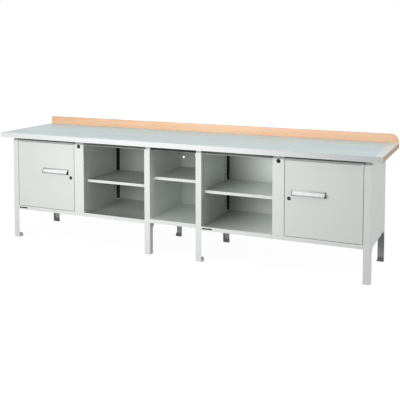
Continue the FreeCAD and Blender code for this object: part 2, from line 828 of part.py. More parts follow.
def middle_bay():
    side = ("-inner_face", "inner_face")
    base = pan("middle_floor", side, ("case_front", "back_front"),
               ("middle_floor_under", "middle_floor_top"), "panel_gauge")
    shelf = pan("middle_shelf", side, ("middle_shelf_front", "back_front"),
                ("middle_shelf_under", "middle_shelf_top"), "panel_gauge")
    top = body("middle_top_body")
    pad(top, "middle_top_fold", "XZ_Plane", "case_front", "back_front - case_front", [[
        ("-inner_face", "middle_top_under"),
        ("-inner_face + panel_gauge", "middle_top_under"),
        ("-inner_face + panel_gauge", "cover_under"),
        ("inner_face - panel_gauge", "cover_under"),
        ("inner_face - panel_gauge", "middle_top_under"),
        ("inner_face", "middle_top_under"),
        ("inner_face", "case_top"),
        ("-inner_face", "case_top"),
    ]])
    rear_lip = rectangle("-inner_face + panel_gauge", "inner_face - panel_gauge",
                         "middle_top_under", "cover_under")
    pad(top, "middle_top_rear_lip", "XZ_Plane", "back_front - panel_gauge", "panel_gauge", [rear_lip])
    for owner, name, spots in ((base, "middle_floor", side_bolt_spots[0:2]),
                               (shelf, "middle_shelf", side_bolt_spots[2:4]),
                               (top, "middle_top", side_bolt_spots[4:6])):
        for index, low in enumerate(("-inner_face - overrun", "inner_face - panel_gauge - overrun")):
            pocket(owner, f"{name}_side_holes_{index}", "YZ_Plane", low, "panel_gauge + 2 * overrun",
                   circles=[(row, level, "bolt_hole") for row, level in spots])
    for owner, name, spots in ((base, "middle_floor", middle_back_bolts[0:2]),
                               (top, "middle_top", middle_back_bolts[2:4])):
        pocket(owner, name + "_rear_holes", "XZ_Plane", "back_front - panel_gauge - overrun",
               "panel_gauge + 2 * overrun",
               circles=[(column, level, "bolt_hole") for column, level in spots])
    keep(base, "middle_floor")
    keep(shelf, "middle_shelf")
    keep(top, "middle_top")
    back = body("middle_back_body")
    pad(back, "middle_back_sheet", "XZ_Plane", "back_front", "skin_gauge",
        [rectangle("-inner_face", "inner_face", "middle_floor_under", "case_top")])
    holes = [(column, level, "bolt_hole") for column, level in middle_back_bolts]
    holes.append(("-inner_face + cable_hole_edge", "cable_hole_height", "cable_hole / 2"))
    pocket(back, "middle_back_holes", "XZ_Plane", "back_front - overrun", "skin_gauge + 2 * overrun",
           circles=holes)
    keep(back, "middle_back")


def housing_bolts():
    """Round-headed bolts of the back panels and of the middle bay."""
    head = "bolt_head / 2"
    shank = "bolt_diameter / 2"
    right = []
    for column in range(2):
        for row in range(3):
            spot = {"x": back_bolt_columns[column], "z": back_bolt_levels[row]}
            name = f"back_bolt_{column}_{row}"
            right.append(fuse(name, [
                rod(name + "_head", "y", head, "case_rear", "case_rear + bolt_head_height", **spot),
                rod(name + "_shank", "y", shank, "case_rear - bolt_length",
                    "case_rear + bolt_head_height", **spot),
            ]))
    for index, (row, level) in enumerate(side_bolt_spots):
        spot = {"y": row, "z": level}
        name = f"side_bolt_{index}"
        inside = "inner_face - panel_gauge"
        right.append(fuse(name, [
            rod(name + "_head", "x", head, f"{inside} - bolt_head_height", inside, **spot),
            rod(name + "_shank", "x", shank, f"{inside} - bolt_head_height",
                f"{inside} + bolt_length", **spot),
        ]))
    middle = []
    for index, (column, level) in enumerate(middle_back_bolts):
        spot = {"x": column, "z": level}
        name = f"middle_bolt_{index}"
        middle.append(fuse(name, [
            rod(name + "_head", "y", head, "rear_inside", "rear_inside + bolt_head_height", **spot),
            rod(name + "_shank", "y", shank, "rear_inside - bolt_length",
                "rear_inside + bolt_head_height", **spot),
        ]))
    half = group("bolts_right", right)
    keep(group("bolt_group", [half, mirror("bolts_left", half)] + middle), "housing_bolts")


# Feet and stile plugs

def feet():
    """Plastic feet: a plate under each leg and an insert in its corner, shallow in the rear."""
    posts = {
        "outer": ("outer_edge - foot_overhang", "outer_face",
                  "outer_face - panel_gauge - foot_insert_width", "outer_face - panel_gauge"),
        "inner": ("inner_face", "inner_edge + foot_overhang",
                  "inner_face + panel_gauge", "inner_face + panel_gauge + foot_insert_width"),
    }
    rows = {
        "front": ("case_front", "case_front + leg_depth + foot_overhang",
                  "front_inside", "front_inside + foot_insert_width"),
        "rear": ("case_rear - rear_leg_depth", "case_rear",
                 "rear_inside - rear_insert_depth", "rear_inside"),
    }
    pieces = []
    for post, (plate_left, plate_right, insert_left, insert_right) in posts.items():
        for row, (plate_front, plate_rear, insert_front, insert_rear) in rows.items():
            name = f"foot_{post}_{row}"
            owner = body(name)
            pad(owner, name + "_plate", "XY_Plane", "0", "foot_plate",
                [rectangle(plate_left, plate_right, plate_front, plate_rear)])
            pad(owner, name + "_insert", "XY_Plane", "foot_plate", "foot_insert_height",
                [rectangle(insert_left, insert_right, insert_front, insert_rear)])
            round_off(owner, name + "_insert_rim", "foot_plate", z="foot_plate + foot_insert_height")
            corner_x = insert_right if post == "outer" else insert_left
            corner_y = insert_front if row == "front" else insert_rear
            round_off(owner, name + "_insert_corner", "bend_radius + fixed_clearance",
                      x=corner_x, y=corner_y)
            pieces.append(owner)
    keep_pair(group("feet", pieces), "feet")


def stile_plugs():
    head = rod("plug_head", "y", "plug_head / 2", "case_front - plug_head_height", "case_front",
               x="partition_middle", z="plug_level")
    stem = rod("plug_stem", "y", "plug_stem / 2", "case_front - plug_head_height",
               "case_front + plug_stem_length", x="partition_middle", z="plug_level")
    right = fuse("plug_right", [head, stem])
    keep(group("plug_group", [right, mirror("plug_left", right)]), "stile_plugs")


# Doors

def door_shell():
    """A pan folded on four sides, with return lips round its open back."""
    owner = body("door_body")
    pad(owner, "door_blank", "XZ_Plane", "case_front", "door_depth",
        [rectangle("door_inner", "door_outer", "door_bottom", "door_top")])
    round_off(owner, "door_front_edges", "door_rounding", y="case_front")
    skin = "skin_gauge"
    hollow = rectangle(f"door_inner + {skin}", f"door_outer - {skin}",
                       f"door_bottom + {skin}", f"door_top - {skin}")
    opening = rectangle("door_inner + door_lip", "door_outer - door_lip",
                        "door_bottom + door_lip", "door_top - door_lip")
    pocket(owner, "door_hollow", "XZ_Plane", f"case_front + {skin}", f"door_depth - 2 * {skin}", [hollow])
    pocket(owner, "door_opening", "XZ_Plane", f"door_back - {skin} - overrun", f"{skin} + 2 * overrun",
           [opening])
    pocket(owner, "door_lock_hole", "XZ_Plane", "case_front - overrun", f"{skin} + 2 * overrun",
           circles=[("lock_x", "lock_level", "lock_barrel / 2 + fixed_clearance")])
    for index, low in enumerate(("door_bottom - overrun", f"door_top - {skin} - overrun")):
        pocket(owner, f"door_pin_hole_{index}", "XY_Plane", low, f"{skin} + 2 * overrun",
               circles=[("hinge_x", "hinge_y", "pin_diameter / 2 + fixed_clearance")])
    keep_pair(owner, "door_shell")


def door_stiffener():
    """Upright hat profile glued inside the door's skin."""
    skin = "case_front + skin_gauge"
    right = "door_outer - stiffener_edge"
    left = f"{right} - stiffener_width"
    owner = body("stiffener_body")
    pad(owner, "stiffener_fold", "XY_Plane", "door_bottom + stiffener_end",
        "door_top - door_bottom - 2 * stiffener_end", [[
            (left, skin),
            (f"{left} + stiffener_flange", skin),
            (f"{left} + stiffener_flange", f"{skin} + stiffener_depth - skin_gauge"),
            (f"{right} - stiffener_flange", f"{skin} + stiffener_depth - skin_gauge"),
            (f"{right} - stiffener_flange", skin),
            (right, skin),
            (right, f"{skin} + skin_gauge"),
            (f"{right} - stiffener_flange + skin_gauge", f"{skin} + skin_gauge"),
            (f"{right} - stiffener_flange + skin_gauge", f"{skin} + stiffener_depth"),
            (f"{left} + stiffener_flange - skin_gauge", f"{skin} + stiffener_depth"),
            (f"{left} + stiffener_flange - skin_gauge", f"{skin} + skin_gauge"),
            (left, f"{skin} + skin_gauge"),
        ]])
    keep_pair(owner, "door_stiffener")


def handle():
    """Grip profile with a sloping front that carries a pale strip, and a cap at each end."""
    low = "handle_left + handle_cap"
    length = "handle_length - 2 * handle_cap"
    owner = body("handle_body")
    pad(owner, "handle_profile", "YZ_Plane", low, length, [[
        ("case_front", "handle_top"),
        ("case_front - handle_ridge", "handle_top"),
        ("seat_top_y", "seat_top_z"),
        ("seat_end_y", "seat_end_z"),
        ("nose_y", "seat_end_z"),
        ("nose_y", "seat_end_z - blade_drop"),
        ("seat_end_y", "seat_end_z - blade_drop"),
        ("handle_back", "seat_end_z - blade_drop + blade_rise"),
        ("handle_back", "handle_bottom"),
        ("case_front", "handle_bottom"),
    ]])
    round_off(owner, "handle_nose_round", "blade_drop / 3", y="nose_y")
    keep_pair(owner, "handle_profile")

    out_y = "insert_gauge * handle_seat_drop / seat_slope"
    out_z = "insert_gauge * handle_seat_run / seat_slope"
    run = "insert_margin * handle_seat_run / seat_slope"
    drop = "insert_margin * handle_seat_drop / seat_slope"
    strip = body("insert_body")
    pad(strip, "handle_insert", "YZ_Plane", low, length, [[
        (f"seat_top_y - {run}", f"seat_top_z - {drop}"),
        (f"seat_end_y + {run}", f"seat_end_z + {drop}"),
        (f"seat_end_y + {run} - {out_y}", f"seat_end_z + {drop} + {out_z}"),
        (f"seat_top_y - {run} - {out_y}", f"seat_top_z - {drop} + {out_z}"),
    ]])
    keep_pair(strip, "handle_insert")

    caps = []
    for side, start in (("near", "handle_left"), ("far", "handle_right - handle_cap")):
        cap = body(f"cap_{side}")
        pad(cap, f"cap_{side}_plate", "YZ_Plane", start, "handle_cap", [[
            ("case_front", "handle_top"),
            ("case_front - handle_ridge", "handle_top"),
            (f"seat_top_y - {out_y}", f"seat_top_z + {out_z}"),
            ("nose_y", "seat_end_z"),
            ("nose_y", "seat_end_z - blade_drop"),
            ("handle_back", "handle_bottom"),
            ("case_front", "handle_bottom"),
        ]])
        caps.append(cap)
    keep_pair(group("handle_cap_group", caps), "handle_caps")


def hinge_pins():
    """A pin at the top and at the foot of the door's outer edge, turning in the cover and the floor."""
    spot = {"x": "hinge_x", "y": "hinge_y"}
    upper = fuse("upper_pin", [
        rod("upper_pin_shank", "z", "pin_diameter / 2", "door_top - skin_gauge - pin_flange_height",
            "case_top + pin_reach", **spot),
        rod("upper_pin_flange", "z", "pin_flange / 2", "door_top - skin_gauge - pin_flange_height",
            "door_top - skin_gauge", **spot),
        rod("upper_pin_collar", "z", "pin_collar / 2", "door_top", "cover_under - pin_collar_gap", **spot),
    ])
    lower = fuse("lower_pin", [
        rod("lower_pin_shank", "z", "pin_diameter / 2", "floor_top - panel_gauge - pin_reach",
            "door_bottom + skin_gauge + pin_flange_height", **spot),
        rod("lower_pin_flange", "z", "pin_flange / 2", "door_bottom + skin_gauge",
            "door_bottom + skin_gauge + pin_flange_height", **spot),
        rod("lower_pin_collar", "z", "pin_collar / 2", "floor_top + pin_collar_gap", "door_bottom", **spot),
    ])
    keep_pair(group("pin_group", [upper, lower]), "hinge_pins")


# Locks

def lock():
    spot = {"x": "lock_x", "z": "lock_level"}
    sleeve = fuse("sleeve_blank", [
        rod("sleeve_collar", "y", "lock_collar / 2", "lock_front", "case_front", **spot),
        rod("sleeve_barrel", "y", "lock_barrel / 2", "lock_front",
            "case_front + lock_barrel_length", **spot),
    ])
    bore = rod("sleeve_bore", "y", "lock_core / 2 + running_clearance", "lock_front - overrun",
               "case_front + lock_barrel_length + overrun", **spot)
    keep_pair(cut("sleeve", sleeve, [bore]), "lock_sleeve")

    half = "lock_shank / 2"
    core_blank = fuse("core_blank", [
        rod("core_plug", "y", "lock_core / 2", "lock_front", "cam_front", **spot),
        block("core_shank", (f"lock_x - {half}", f"lock_x + {half}"),
              ("lock_front + key_slot_depth", "cam_rear"),
              (f"lock_level - {half}", f"lock_level + {half}")),
        rod("core_rivet", "y", "lock_rivet / 2", "cam_rear", "cam_rear + lock_rivet_height", **spot),
    ])
    key_slot = block("key_slot", ("lock_x - key_slot_width / 2", "lock_x + key_slot_width / 2"),
                     ("lock_front - overrun", "lock_front + key_slot_depth"),
                     ("lock_level - key_slot_length / 2", "lock_level + key_slot_length / 2"))
    keep_pair(cut("core", core_blank, [key_slot]), "lock_core")

    tail = "lock_x - cam_width / 2"
    cam_blank = fuse("cam_blank", [
        block("cam_plate", (tail, "lock_x + cam_width / 2"), ("cam_front", "cam_rear"),
              ("lock_level - cam_reach", "lock_level")),
        rod("cam_end", "y", "cam_width / 2", "cam_front", "cam_rear", **spot),
    ])
    hole = f"{half} + fixed_clearance"
    cam_hole = block("cam_hole", (f"lock_x - ({hole})", f"lock_x + {hole}"),
                     ("cam_front - overrun", "cam_rear + overrun"),
                     (f"lock_level - ({hole})", f"lock_level + {hole}"))
    keep_pair(cut("cam", cam_blank, [cam_hole]), "lock_cam")


worktop_board()
worktop_sheet()
rear_ledge()
ledge_screws()
worktop_screws()
bearing_channels()
side_panel("side_panel_outer", "outer_face", "outer_edge", "-", back_bolt_columns[0])
side_panel("side_panel_inner", "inner_face", "inner_edge", "+", back_bolt_columns[1])
partition()
shelf_wall("shelf_wall_outer", "outer_edge", "+", "outer_face - panel_gauge")
shelf_wall("shelf_wall_inner", "inner_edge", "-", "inner_face + panel_gauge")
floors()
shelves()
shelf_clips()
top_cover()
back_panel()
middle_bay()
housing_bolts()
feet()
stile_plugs()
door_shell()
door_stiffener()
handle()
hinge_pins()
lock()
doc.recompute()

for item in doc.Objects:
    if "Invalid" in item.State or "Error" in item.State:
        raise RuntimeError("not computed: " + item.Name)
for item in nodes:
    if item.Shape.isNull() or not item.Shape.isValid():
        raise RuntimeError("no valid shape: " + item.Label)

os.makedirs("parts", exist_ok=True)
for item in nodes:
    item.Shape.exportStep(f"parts/{item.Label}.step")
print(len(nodes), "sub-parts")
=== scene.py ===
import json
import math
import bpy
import bmesh
from mathutils import Matrix, Vector


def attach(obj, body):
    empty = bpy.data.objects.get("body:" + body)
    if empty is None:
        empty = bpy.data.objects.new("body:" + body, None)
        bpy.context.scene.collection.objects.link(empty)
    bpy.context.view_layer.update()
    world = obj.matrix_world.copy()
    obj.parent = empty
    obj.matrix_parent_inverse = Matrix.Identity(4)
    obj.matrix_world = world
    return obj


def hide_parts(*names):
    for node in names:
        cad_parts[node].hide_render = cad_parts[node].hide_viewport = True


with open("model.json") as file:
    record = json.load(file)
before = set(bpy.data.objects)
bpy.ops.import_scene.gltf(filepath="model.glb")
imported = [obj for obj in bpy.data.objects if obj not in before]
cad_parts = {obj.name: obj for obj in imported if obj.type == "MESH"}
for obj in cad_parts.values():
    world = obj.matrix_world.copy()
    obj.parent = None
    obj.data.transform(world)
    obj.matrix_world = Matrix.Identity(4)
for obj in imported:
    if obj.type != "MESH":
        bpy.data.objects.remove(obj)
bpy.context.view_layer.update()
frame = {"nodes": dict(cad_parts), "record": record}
cadNodes = frame["nodes"]
print("frame loaded:", len(cadNodes), "nodes")


# Shader helpers

def feed(tree, node, values):
    # inputs by name or number: a socket is linked, and a plain value is written in
    for name, value in values.items():
        if isinstance(value, bpy.types.NodeSocket):
            tree.links.new(value, node.inputs[name])
        else:
            node.inputs[name].default_value = value


def addNode(tree, kind, values=None, **settings):
    node = tree.nodes.new("ShaderNode" + kind)
    for name, setting in settings.items():
        setattr(node, name, setting)
    feed(tree, node, values or {})
    return node


def noise(tree, vector, scale, detail=2.0, roughness=0.5, distortion=0.0):
    values = {"Vector": vector, "Scale": scale, "Detail": detail,
              "Roughness": roughness, "Distortion": distortion}
    return addNode(tree, "TexNoise", values).outputs["Fac"]


def stretched(tree, vector, scale, turn=0.0):
    values = {"Vector": vector, "Scale": scale, "Rotation": (0.0, 0.0, turn)}
    return addNode(tree, "Mapping", values).outputs["Vector"]


def drawnNoise(tree, vector, scale, detail=2.0, roughness=0.5, distortion=0.0, turn=0.0):
    # noise with a scale of its own along each axis
    return noise(tree, stretched(tree, vector, scale, turn), 1.0, detail, roughness, distortion)


def ramp(tree, value, low, high, outLow=0.0, outHigh=1.0):
    values = {"Value": value, "From Min": low, "From Max": high, "To Min": outLow, "To Max": outHigh}
    return addNode(tree, "MapRange", values, clamp=True).outputs["Result"]


def maths(tree, operation, first, second=0.0):
    return addNode(tree, "Math", {0: first, 1: second}, operation=operation).outputs[0]


def product(tree, first, *others):
    for item in others:
        first = maths(tree, "MULTIPLY", first, item)
    return first


def between(tree, value, low, high):
    return product(tree, maths(tree, "GREATER_THAN", value, low), maths(tree, "LESS_THAN", value, high))


def axes(tree, vector):
    node = addNode(tree, "SeparateXYZ", {0: vector})
    return node.outputs["X"], node.outputs["Y"], node.outputs["Z"]


def mixColours(tree, amount, first, second, blend="MIX"):
    values = {0: amount, 6: first, 7: second}
    return addNode(tree, "Mix", values, data_type="RGBA", blend_type=blend).outputs[2]


def mixShaders(tree, amount, first, second):
    return addNode(tree, "MixShader", {0: amount, 1: first, 2: second}).outputs[0]


def newGroup(name, inputs, outputs):
    group = bpy.data.node_groups.new(name, "ShaderNodeTree")
    for label, kind, value in inputs:
        socket = group.interface.new_socket(label, in_out="INPUT", socket_type="NodeSocket" + kind)
        if value is not None:
            socket.default_value = value
    for label, kind in outputs:
        group.interface.new_socket(label, in_out="OUTPUT", socket_type="NodeSocket" + kind)
    return group, group.nodes.new("NodeGroupInput"), group.nodes.new("NodeGroupOutput")


def placeGroup(tree, group, **values):
    return addNode(tree, "Group", values, node_tree=group)


def newMaterial(name):
    material = bpy.data.materials.new(name)
    material.use_nodes = True
    tree = material.node_tree
    place = addNode(tree, "TexCoord").outputs["Object"]
    return material, tree, tree.nodes["Principled BSDF"], place


def addBump(tree, shader, height, strength, distance):
    bump = addNode(tree, "Bump", {"Strength": strength, "Distance": distance, "Height": height})
    feed(tree, shader, {"Normal": bump.outputs["Normal"]})


# Camera, lamps and floor

camera = {
    "place": (2.22208, -4.80737, 1.57848),
    "tiltDown": 0.0677,
    "turnLeft": 0.41765,
    "lens": 63.195,
    "shiftUp": -0.27842,
    "sensor": 36.0,
    "farEnd": 200.0,
}
studio = {
    "worldLight": 0.41,
    "floorSize": 60.0,
    "floorColour": (0.34, 0.345, 0.345, 1.0),
    # what the camera sees of the floor: its glow near the bench and, past the second
    # radius, far from it, and the grey that takes the shadow
    "floorGlow": (0.93, 1.0),
    "glowRadii": (1.8, 3.4),
    "floorShadow": (0.14, 0.14, 0.14, 1.0),
    "lamps": [
        # name, place, aim, size, watts
        ("leftLamp", (-1.8, -3.2, 1.2), (-0.6, -0.2, 0.5), (1.6, 1.0), 30.0),
        ("frontLamp", (-0.1, -2.5, 1.0), (0.0, -0.2, 0.5), (1.4, 0.8), 25.0),
        ("rightLamp", (2.6, -4.4, 1.3), (0.2, -0.2, 0.5), (1.6, 1.2), 6.0),
        ("endLamp", (4.6, -0.6, 1.7), (1.4, 0.0, 0.5), (1.6, 1.6), 35.0),
    ],
}
white = (1.0, 1.0, 1.0, 1.0)


def placeCamera():
    data = bpy.data.cameras.new("photoCamera")
    data.sensor_width = camera["sensor"]
    data.lens = camera["lens"]
    data.shift_y = camera["shiftUp"]
    data.clip_end = camera["farEnd"]
    item = bpy.data.objects.new("photoCamera", data)
    item.location = camera["place"]
    item.rotation_euler = (math.pi / 2 - camera["tiltDown"], 0.0, camera["turnLeft"])
    bpy.context.scene.collection.objects.link(item)
    bpy.context.scene.camera = item


def seenRays(tree):
    # 1 for rays from the camera, and for those that a mirror or glass sends on
    path = addNode(tree, "LightPath").outputs
    first = maths(tree, "MAXIMUM", path["Is Camera Ray"], path["Is Glossy Ray"])
    return maths(tree, "MAXIMUM", first, path["Is Transmission Ray"])


def lightStudio():
    world = bpy.data.worlds.new("studioWorld")
    world.use_nodes = True
    tree = world.node_tree
    tree.nodes.clear()
    light = addNode(tree, "Background", {"Color": white, "Strength": studio["worldLight"]})
    backdrop = addNode(tree, "Background", {"Color": white})
    choice = mixShaders(tree, seenRays(tree), light.outputs[0], backdrop.outputs[0])
    addNode(tree, "OutputWorld", {"Surface": choice})
    bpy.context.scene.world = world

    for name, place, aim, size, watts in studio["lamps"]:
        data = bpy.data.lights.new(name, "AREA")
        data.shape = "RECTANGLE"
        data.size, data.size_y = size
        data.energy = watts
        item = bpy.data.objects.new(name, data)
        item.location = place
        item.rotation_euler = (Vector(aim) - Vector(place)).to_track_quat("-Z", "Y").to_euler()
        item.visible_camera = False
        bpy.context.scene.collection.objects.link(item)


def layFloor():
    # pale floor that the camera sees as white, with the shadow of the bench left in it
    bpy.ops.object.select_all(action="DESELECT")
    bpy.ops.mesh.primitive_plane_add(size=studio["floorSize"], location=(0.0, 0.0, 0.0))
    floor = bpy.context.object
    floor.name = "studioFloor"
    paint = bpy.data.materials.new("studioFloor")
    paint.use_nodes = True
    tree = paint.node_tree
    tree.nodes.clear()
    place = addNode(tree, "TexCoord").outputs["Object"]
    away = addNode(tree, "VectorMath", {0: place}, operation="LENGTH").outputs["Value"]
    glowing = ramp(tree, away, *studio["glowRadii"], *studio["floorGlow"])
    glow = addNode(tree, "Emission", {"Strength": glowing})
    matt = addNode(tree, "BsdfDiffuse", {"Color": studio["floorColour"]})
    shadow = addNode(tree, "BsdfDiffuse", {"Color": studio["floorShadow"]})
    shown = addNode(tree, "AddShader", {0: shadow.outputs[0], 1: glow.outputs[0]})
    choice = mixShaders(tree, seenRays(tree), matt.outputs[0], shown.outputs[0])
    addNode(tree, "OutputMaterial", {"Surface": choice})
    floor.data.materials.append(paint)


# Powder coat: fine orange peel, slow drift of the shade, and scuffs low down on the legs

coat = {
    "peelScale": 520.0,
    "driftScale": 2.6,
    "scuffHeight": 0.16,
    "scuffScale": (30.0, 30.0, 9.0),
    "scuffLimits": (0.56, 0.7),
    "scuffColour": (0.36, 0.36, 0.35, 1.0),
    "scuffRoughness": 0.3,
    "patchScale": 14.0,
    "patchLimits": (0.3, 0.7),
    "roughness": (0.36, 0.48),
    "specular": 0.4,
    # strength and distance
    "bump": (0.12, 0.0004),
}


def powderCoatGroup():
    group, start, end = newGroup(
        "powderCoat",
        [("Vector", "Vector", None), ("Colour", "Color", (0.8, 0.8, 0.8, 1.0)),
         ("Drift", "Float", 0.03), ("Scuffs", "Float", 0.2)],
        [("Colour", "Color"), ("Roughness", "Float"), ("Height", "Float")])
    vector = start.outputs["Vector"]
    drift = noise(group, vector, coat["driftScale"], 3.0)
    darker = maths(group, "SUBTRACT", 1.0, product(group, drift, start.outputs["Drift"]))
    shaded = mixColours(group, 1.0, start.outputs["Colour"], darker, "MULTIPLY")
    low = ramp(group, axes(group, vector)[2], coat["scuffHeight"], 0.0)
    marks = ramp(group, drawnNoise(group, vector, coat["scuffScale"], 6.0, 0.7), *coat["scuffLimits"])
    worn = product(group, marks, low, start.outputs["Scuffs"])
    patches = noise(group, vector, coat["patchScale"], 4.0, 0.6)
    rough = ramp(group, patches, *coat["patchLimits"], *coat["roughness"])
    feed(group, end, {
        "Colour": mixColours(group, worn, shaded, coat["scuffColour"]),
        "Roughness": maths(group, "ADD", rough, product(group, worn, coat["scuffRoughness"])),
        "Height": noise(group, vector, coat["peelScale"], 2.0, 0.45),
    })
    return group


# Places on the case where shade is painted: its room, hollow posts, gap and strip under the worktop, rear
# legs; and the painted light and shade of the bays

caseRoom = {
    # limits of the room inside, and of its hollow posts by their distance from the middle
    "halfWidth": 1.4220,
    "front": -0.2935,
    "back": 0.2538,
    "floor": 0.2576,
    "cover": 0.7836,
    "coverSheet": 0.0014,
    "board": 0.8120,
    "posts": [(0.1852, 0.2286), (0.7588, 0.8412), (1.3754, 1.4220)],
    # the painted shadow strip over stiles and doors starts a little over the cover, and is in front of
    # this depth
    "stripBase": 0.0006,
    "stripFront": -0.27,
    # the rear legs, with painted shade, are behind the first place and below the second
    "legsBehind": 0.15,
    "legsBelow": 0.2299,
}
paintedLightRamps = {
    # ramps of painted light and shade: first and last place, then the tone at each
    "gapMiddle": (0.19, 0.22, 0.45, 1.0),
    "gapRight": (0.20, 0.55, 0.0, 0.25),
    "strip": (0.23, 0.75, 0.45, 0.8),
    "along": (-0.45, -0.15, 0.96, 1.28),
    "upward": (0.40, 0.66, 0.88, 1.42),
    "rightBay": (0.25, 0.76, 0.58, 1.65),
    "leftCorner": (-0.72, -0.60, 0.78, 1.0),
    "leftFront": (-0.27, -0.12, 0.62, 1.0),
    # places along X: the left bay's ends, the right post and its wall, the right cupboard
    "leftBay": (-0.7565, -0.22),
    "rightPost": 0.19,
    "rightWall": 0.2293,
    "cupboard": 0.80,
    # share of the upward ramp on the post, before the wall
    "postShare": 0.7,
}


def toneWhere(tree, mask, tone):
    # the tone where the mask is 1, and 1 where it is 0
    return maths(tree, "ADD", product(tree, maths(tree, "SUBTRACT", tone, 1.0), mask), 1.0)


def paintedBayTone(tree, x, y, z):
    # painted light and shade in the bays: they get lighter to the right; the right one has painted light
    # at its right end and high up, and the left one painted shade in its left front corner
    pastPost = maths(tree, "GREATER_THAN", x, paintedLightRamps["rightPost"])
    pastWall = maths(tree, "GREATER_THAN", x, paintedLightRamps["rightWall"])
    right = product(tree, pastPost, ramp(tree, pastWall, 0.0, 1.0, paintedLightRamps["postShare"], 1.0))
    rise = toneWhere(tree, right, ramp(tree, z, *paintedLightRamps["upward"]))
    rightBay = toneWhere(tree, pastWall, ramp(tree, x, *paintedLightRamps["rightBay"]))
    corner = product(tree, ramp(tree, x, *paintedLightRamps["leftCorner"]), ramp(tree, y, *paintedLightRamps["leftFront"]))
    outside = maths(tree, "SUBTRACT", 1.0, between(tree, x, *paintedLightRamps["leftBay"]))
    leftBay = maths(tree, "MAXIMUM", corner, outside)
    drift = product(tree, rise, rightBay, leftBay, ramp(tree, x, *paintedLightRamps["along"]))
    cupboard = maths(tree, "GREATER_THAN", x, paintedLightRamps["cupboard"])
    return ramp(tree, cupboard, 0.0, 1.0, drift, 1.0)


def caseRoomGroup():
    # a mask for each place of painted shade, weaker along parts of the shadow strip, and the painted light
    # and shade tones of gap and bays
    group, start, end = newGroup(
        "caseRoom", [("Vector", "Vector", None)],
        [(name, "Float") for name in ("Inside", "HollowShade", "GapShade", "GapShadeTone", "Strip", "RearLegShade", "BayLightTone")])
    x, y, z = axes(group, start.outputs["Vector"])
    across = maths(group, "ABSOLUTE", x)
    cover, board = caseRoom["cover"], caseRoom["board"]
    depth = between(group, y, caseRoom["front"], caseRoom["back"])
    room = product(group, depth, between(group, z, caseRoom["floor"], cover))
    hollowShade = 0.0
    for low, high in caseRoom["posts"]:
        hollowShade = maths(group, "ADD", between(group, across, low, high), hollowShade)
    narrowPost, broadPost = caseRoom["posts"][:2]
    bays = maths(group, "ADD", between(group, across, narrowPost[1], broadPost[0]),
                 maths(group, "LESS_THAN", across, narrowPost[0]))
    strip = product(group, between(group, z, cover + caseRoom["stripBase"], board),
                    maths(group, "LESS_THAN", y, caseRoom["stripFront"]))
    feed(group, end, {
        # painted shade: the room inside the case takes the darker inside colour
        "Inside": product(group, room, maths(group, "LESS_THAN", across, caseRoom["halfWidth"])),
        # painted shade: the hollow posts are near black deep inside
        "HollowShade": product(group, room, hollowShade),
        # painted shade in the gap under the worktop over the bays; the mask takes in the covers' front
        # edges
        "GapShade": product(group, between(group, z, cover - caseRoom["coverSheet"], board), bays),
        # painted light and shade in the gap: darker in the middle, lighter to the sides and the right
        "GapShadeTone": maths(group, "ADD", ramp(group, across, *paintedLightRamps["gapMiddle"]),
                         ramp(group, x, *paintedLightRamps["gapRight"])),
        # painted shadow: a dark strip under the worktop over stiles and doors, weaker over some stiles
        "Strip": product(group, strip, ramp(group, across, *paintedLightRamps["strip"])),
        # painted shade: the rear legs, under the bench, are darker
        "RearLegShade": product(group, maths(group, "GREATER_THAN", y, caseRoom["legsBehind"]),
                            maths(group, "LESS_THAN", z, caseRoom["legsBelow"])),
        # painted light and shade of the bays
        "BayLightTone": paintedBayTone(group, x, y, z),
    })
    return group


powderCoat = powderCoatGroup()
caseRoomMask = caseRoomGroup()


# Painted sheet

paints = {
    # colour, darker colour inside the case as painted shade, drift of the tone, scuffs on the legs
    "case_paint": ((0.80, 0.82, 0.80, 1.0), (0.56, 0.59, 0.565, 1.0), 0.03, 0.3),
    "inner_paint": ((0.80, 0.82, 0.80, 1.0), (0.41, 0.435, 0.415, 1.0), 0.05, 0.1),
    "shelf_paint": ((0.82, 0.84, 0.82, 1.0), (0.48, 0.51, 0.485, 1.0), 0.03, 0.1),
    "door_paint": ((0.765, 0.785, 0.765, 1.0), None, 0.03, 0.1),
}
paintedShadeColours = {
    # painted shade in the hollow posts: near black behind the depth below, pale in front of it
    "HollowShade": (0.03, 0.033, 0.03, 1.0),
    # the hollow is this pale in front of the depth that follows
    "frontHollow": (0.80, 0.82, 0.80, 1.0),
    "hollowDepth": 0.185,
    # the painted light and shade inside is never paler than this
    "palestInside": (0.92, 0.93, 0.92, 1.0),
    # painted shade in the gap under the worktop over the bays
    "GapShade": (0.66, 0.69, 0.67, 1.0),
    # painted shadow under the worktop over stiles and doors
    "Strip": (0.20, 0.205, 0.20, 1.0),
    # painted shade on the rear legs
    "RearLegShade": (0.50, 0.51, 0.50, 1.0),
    # a face whose normal has a Y below this is a shelf's front edge
    "frontEdge": -0.7,
}


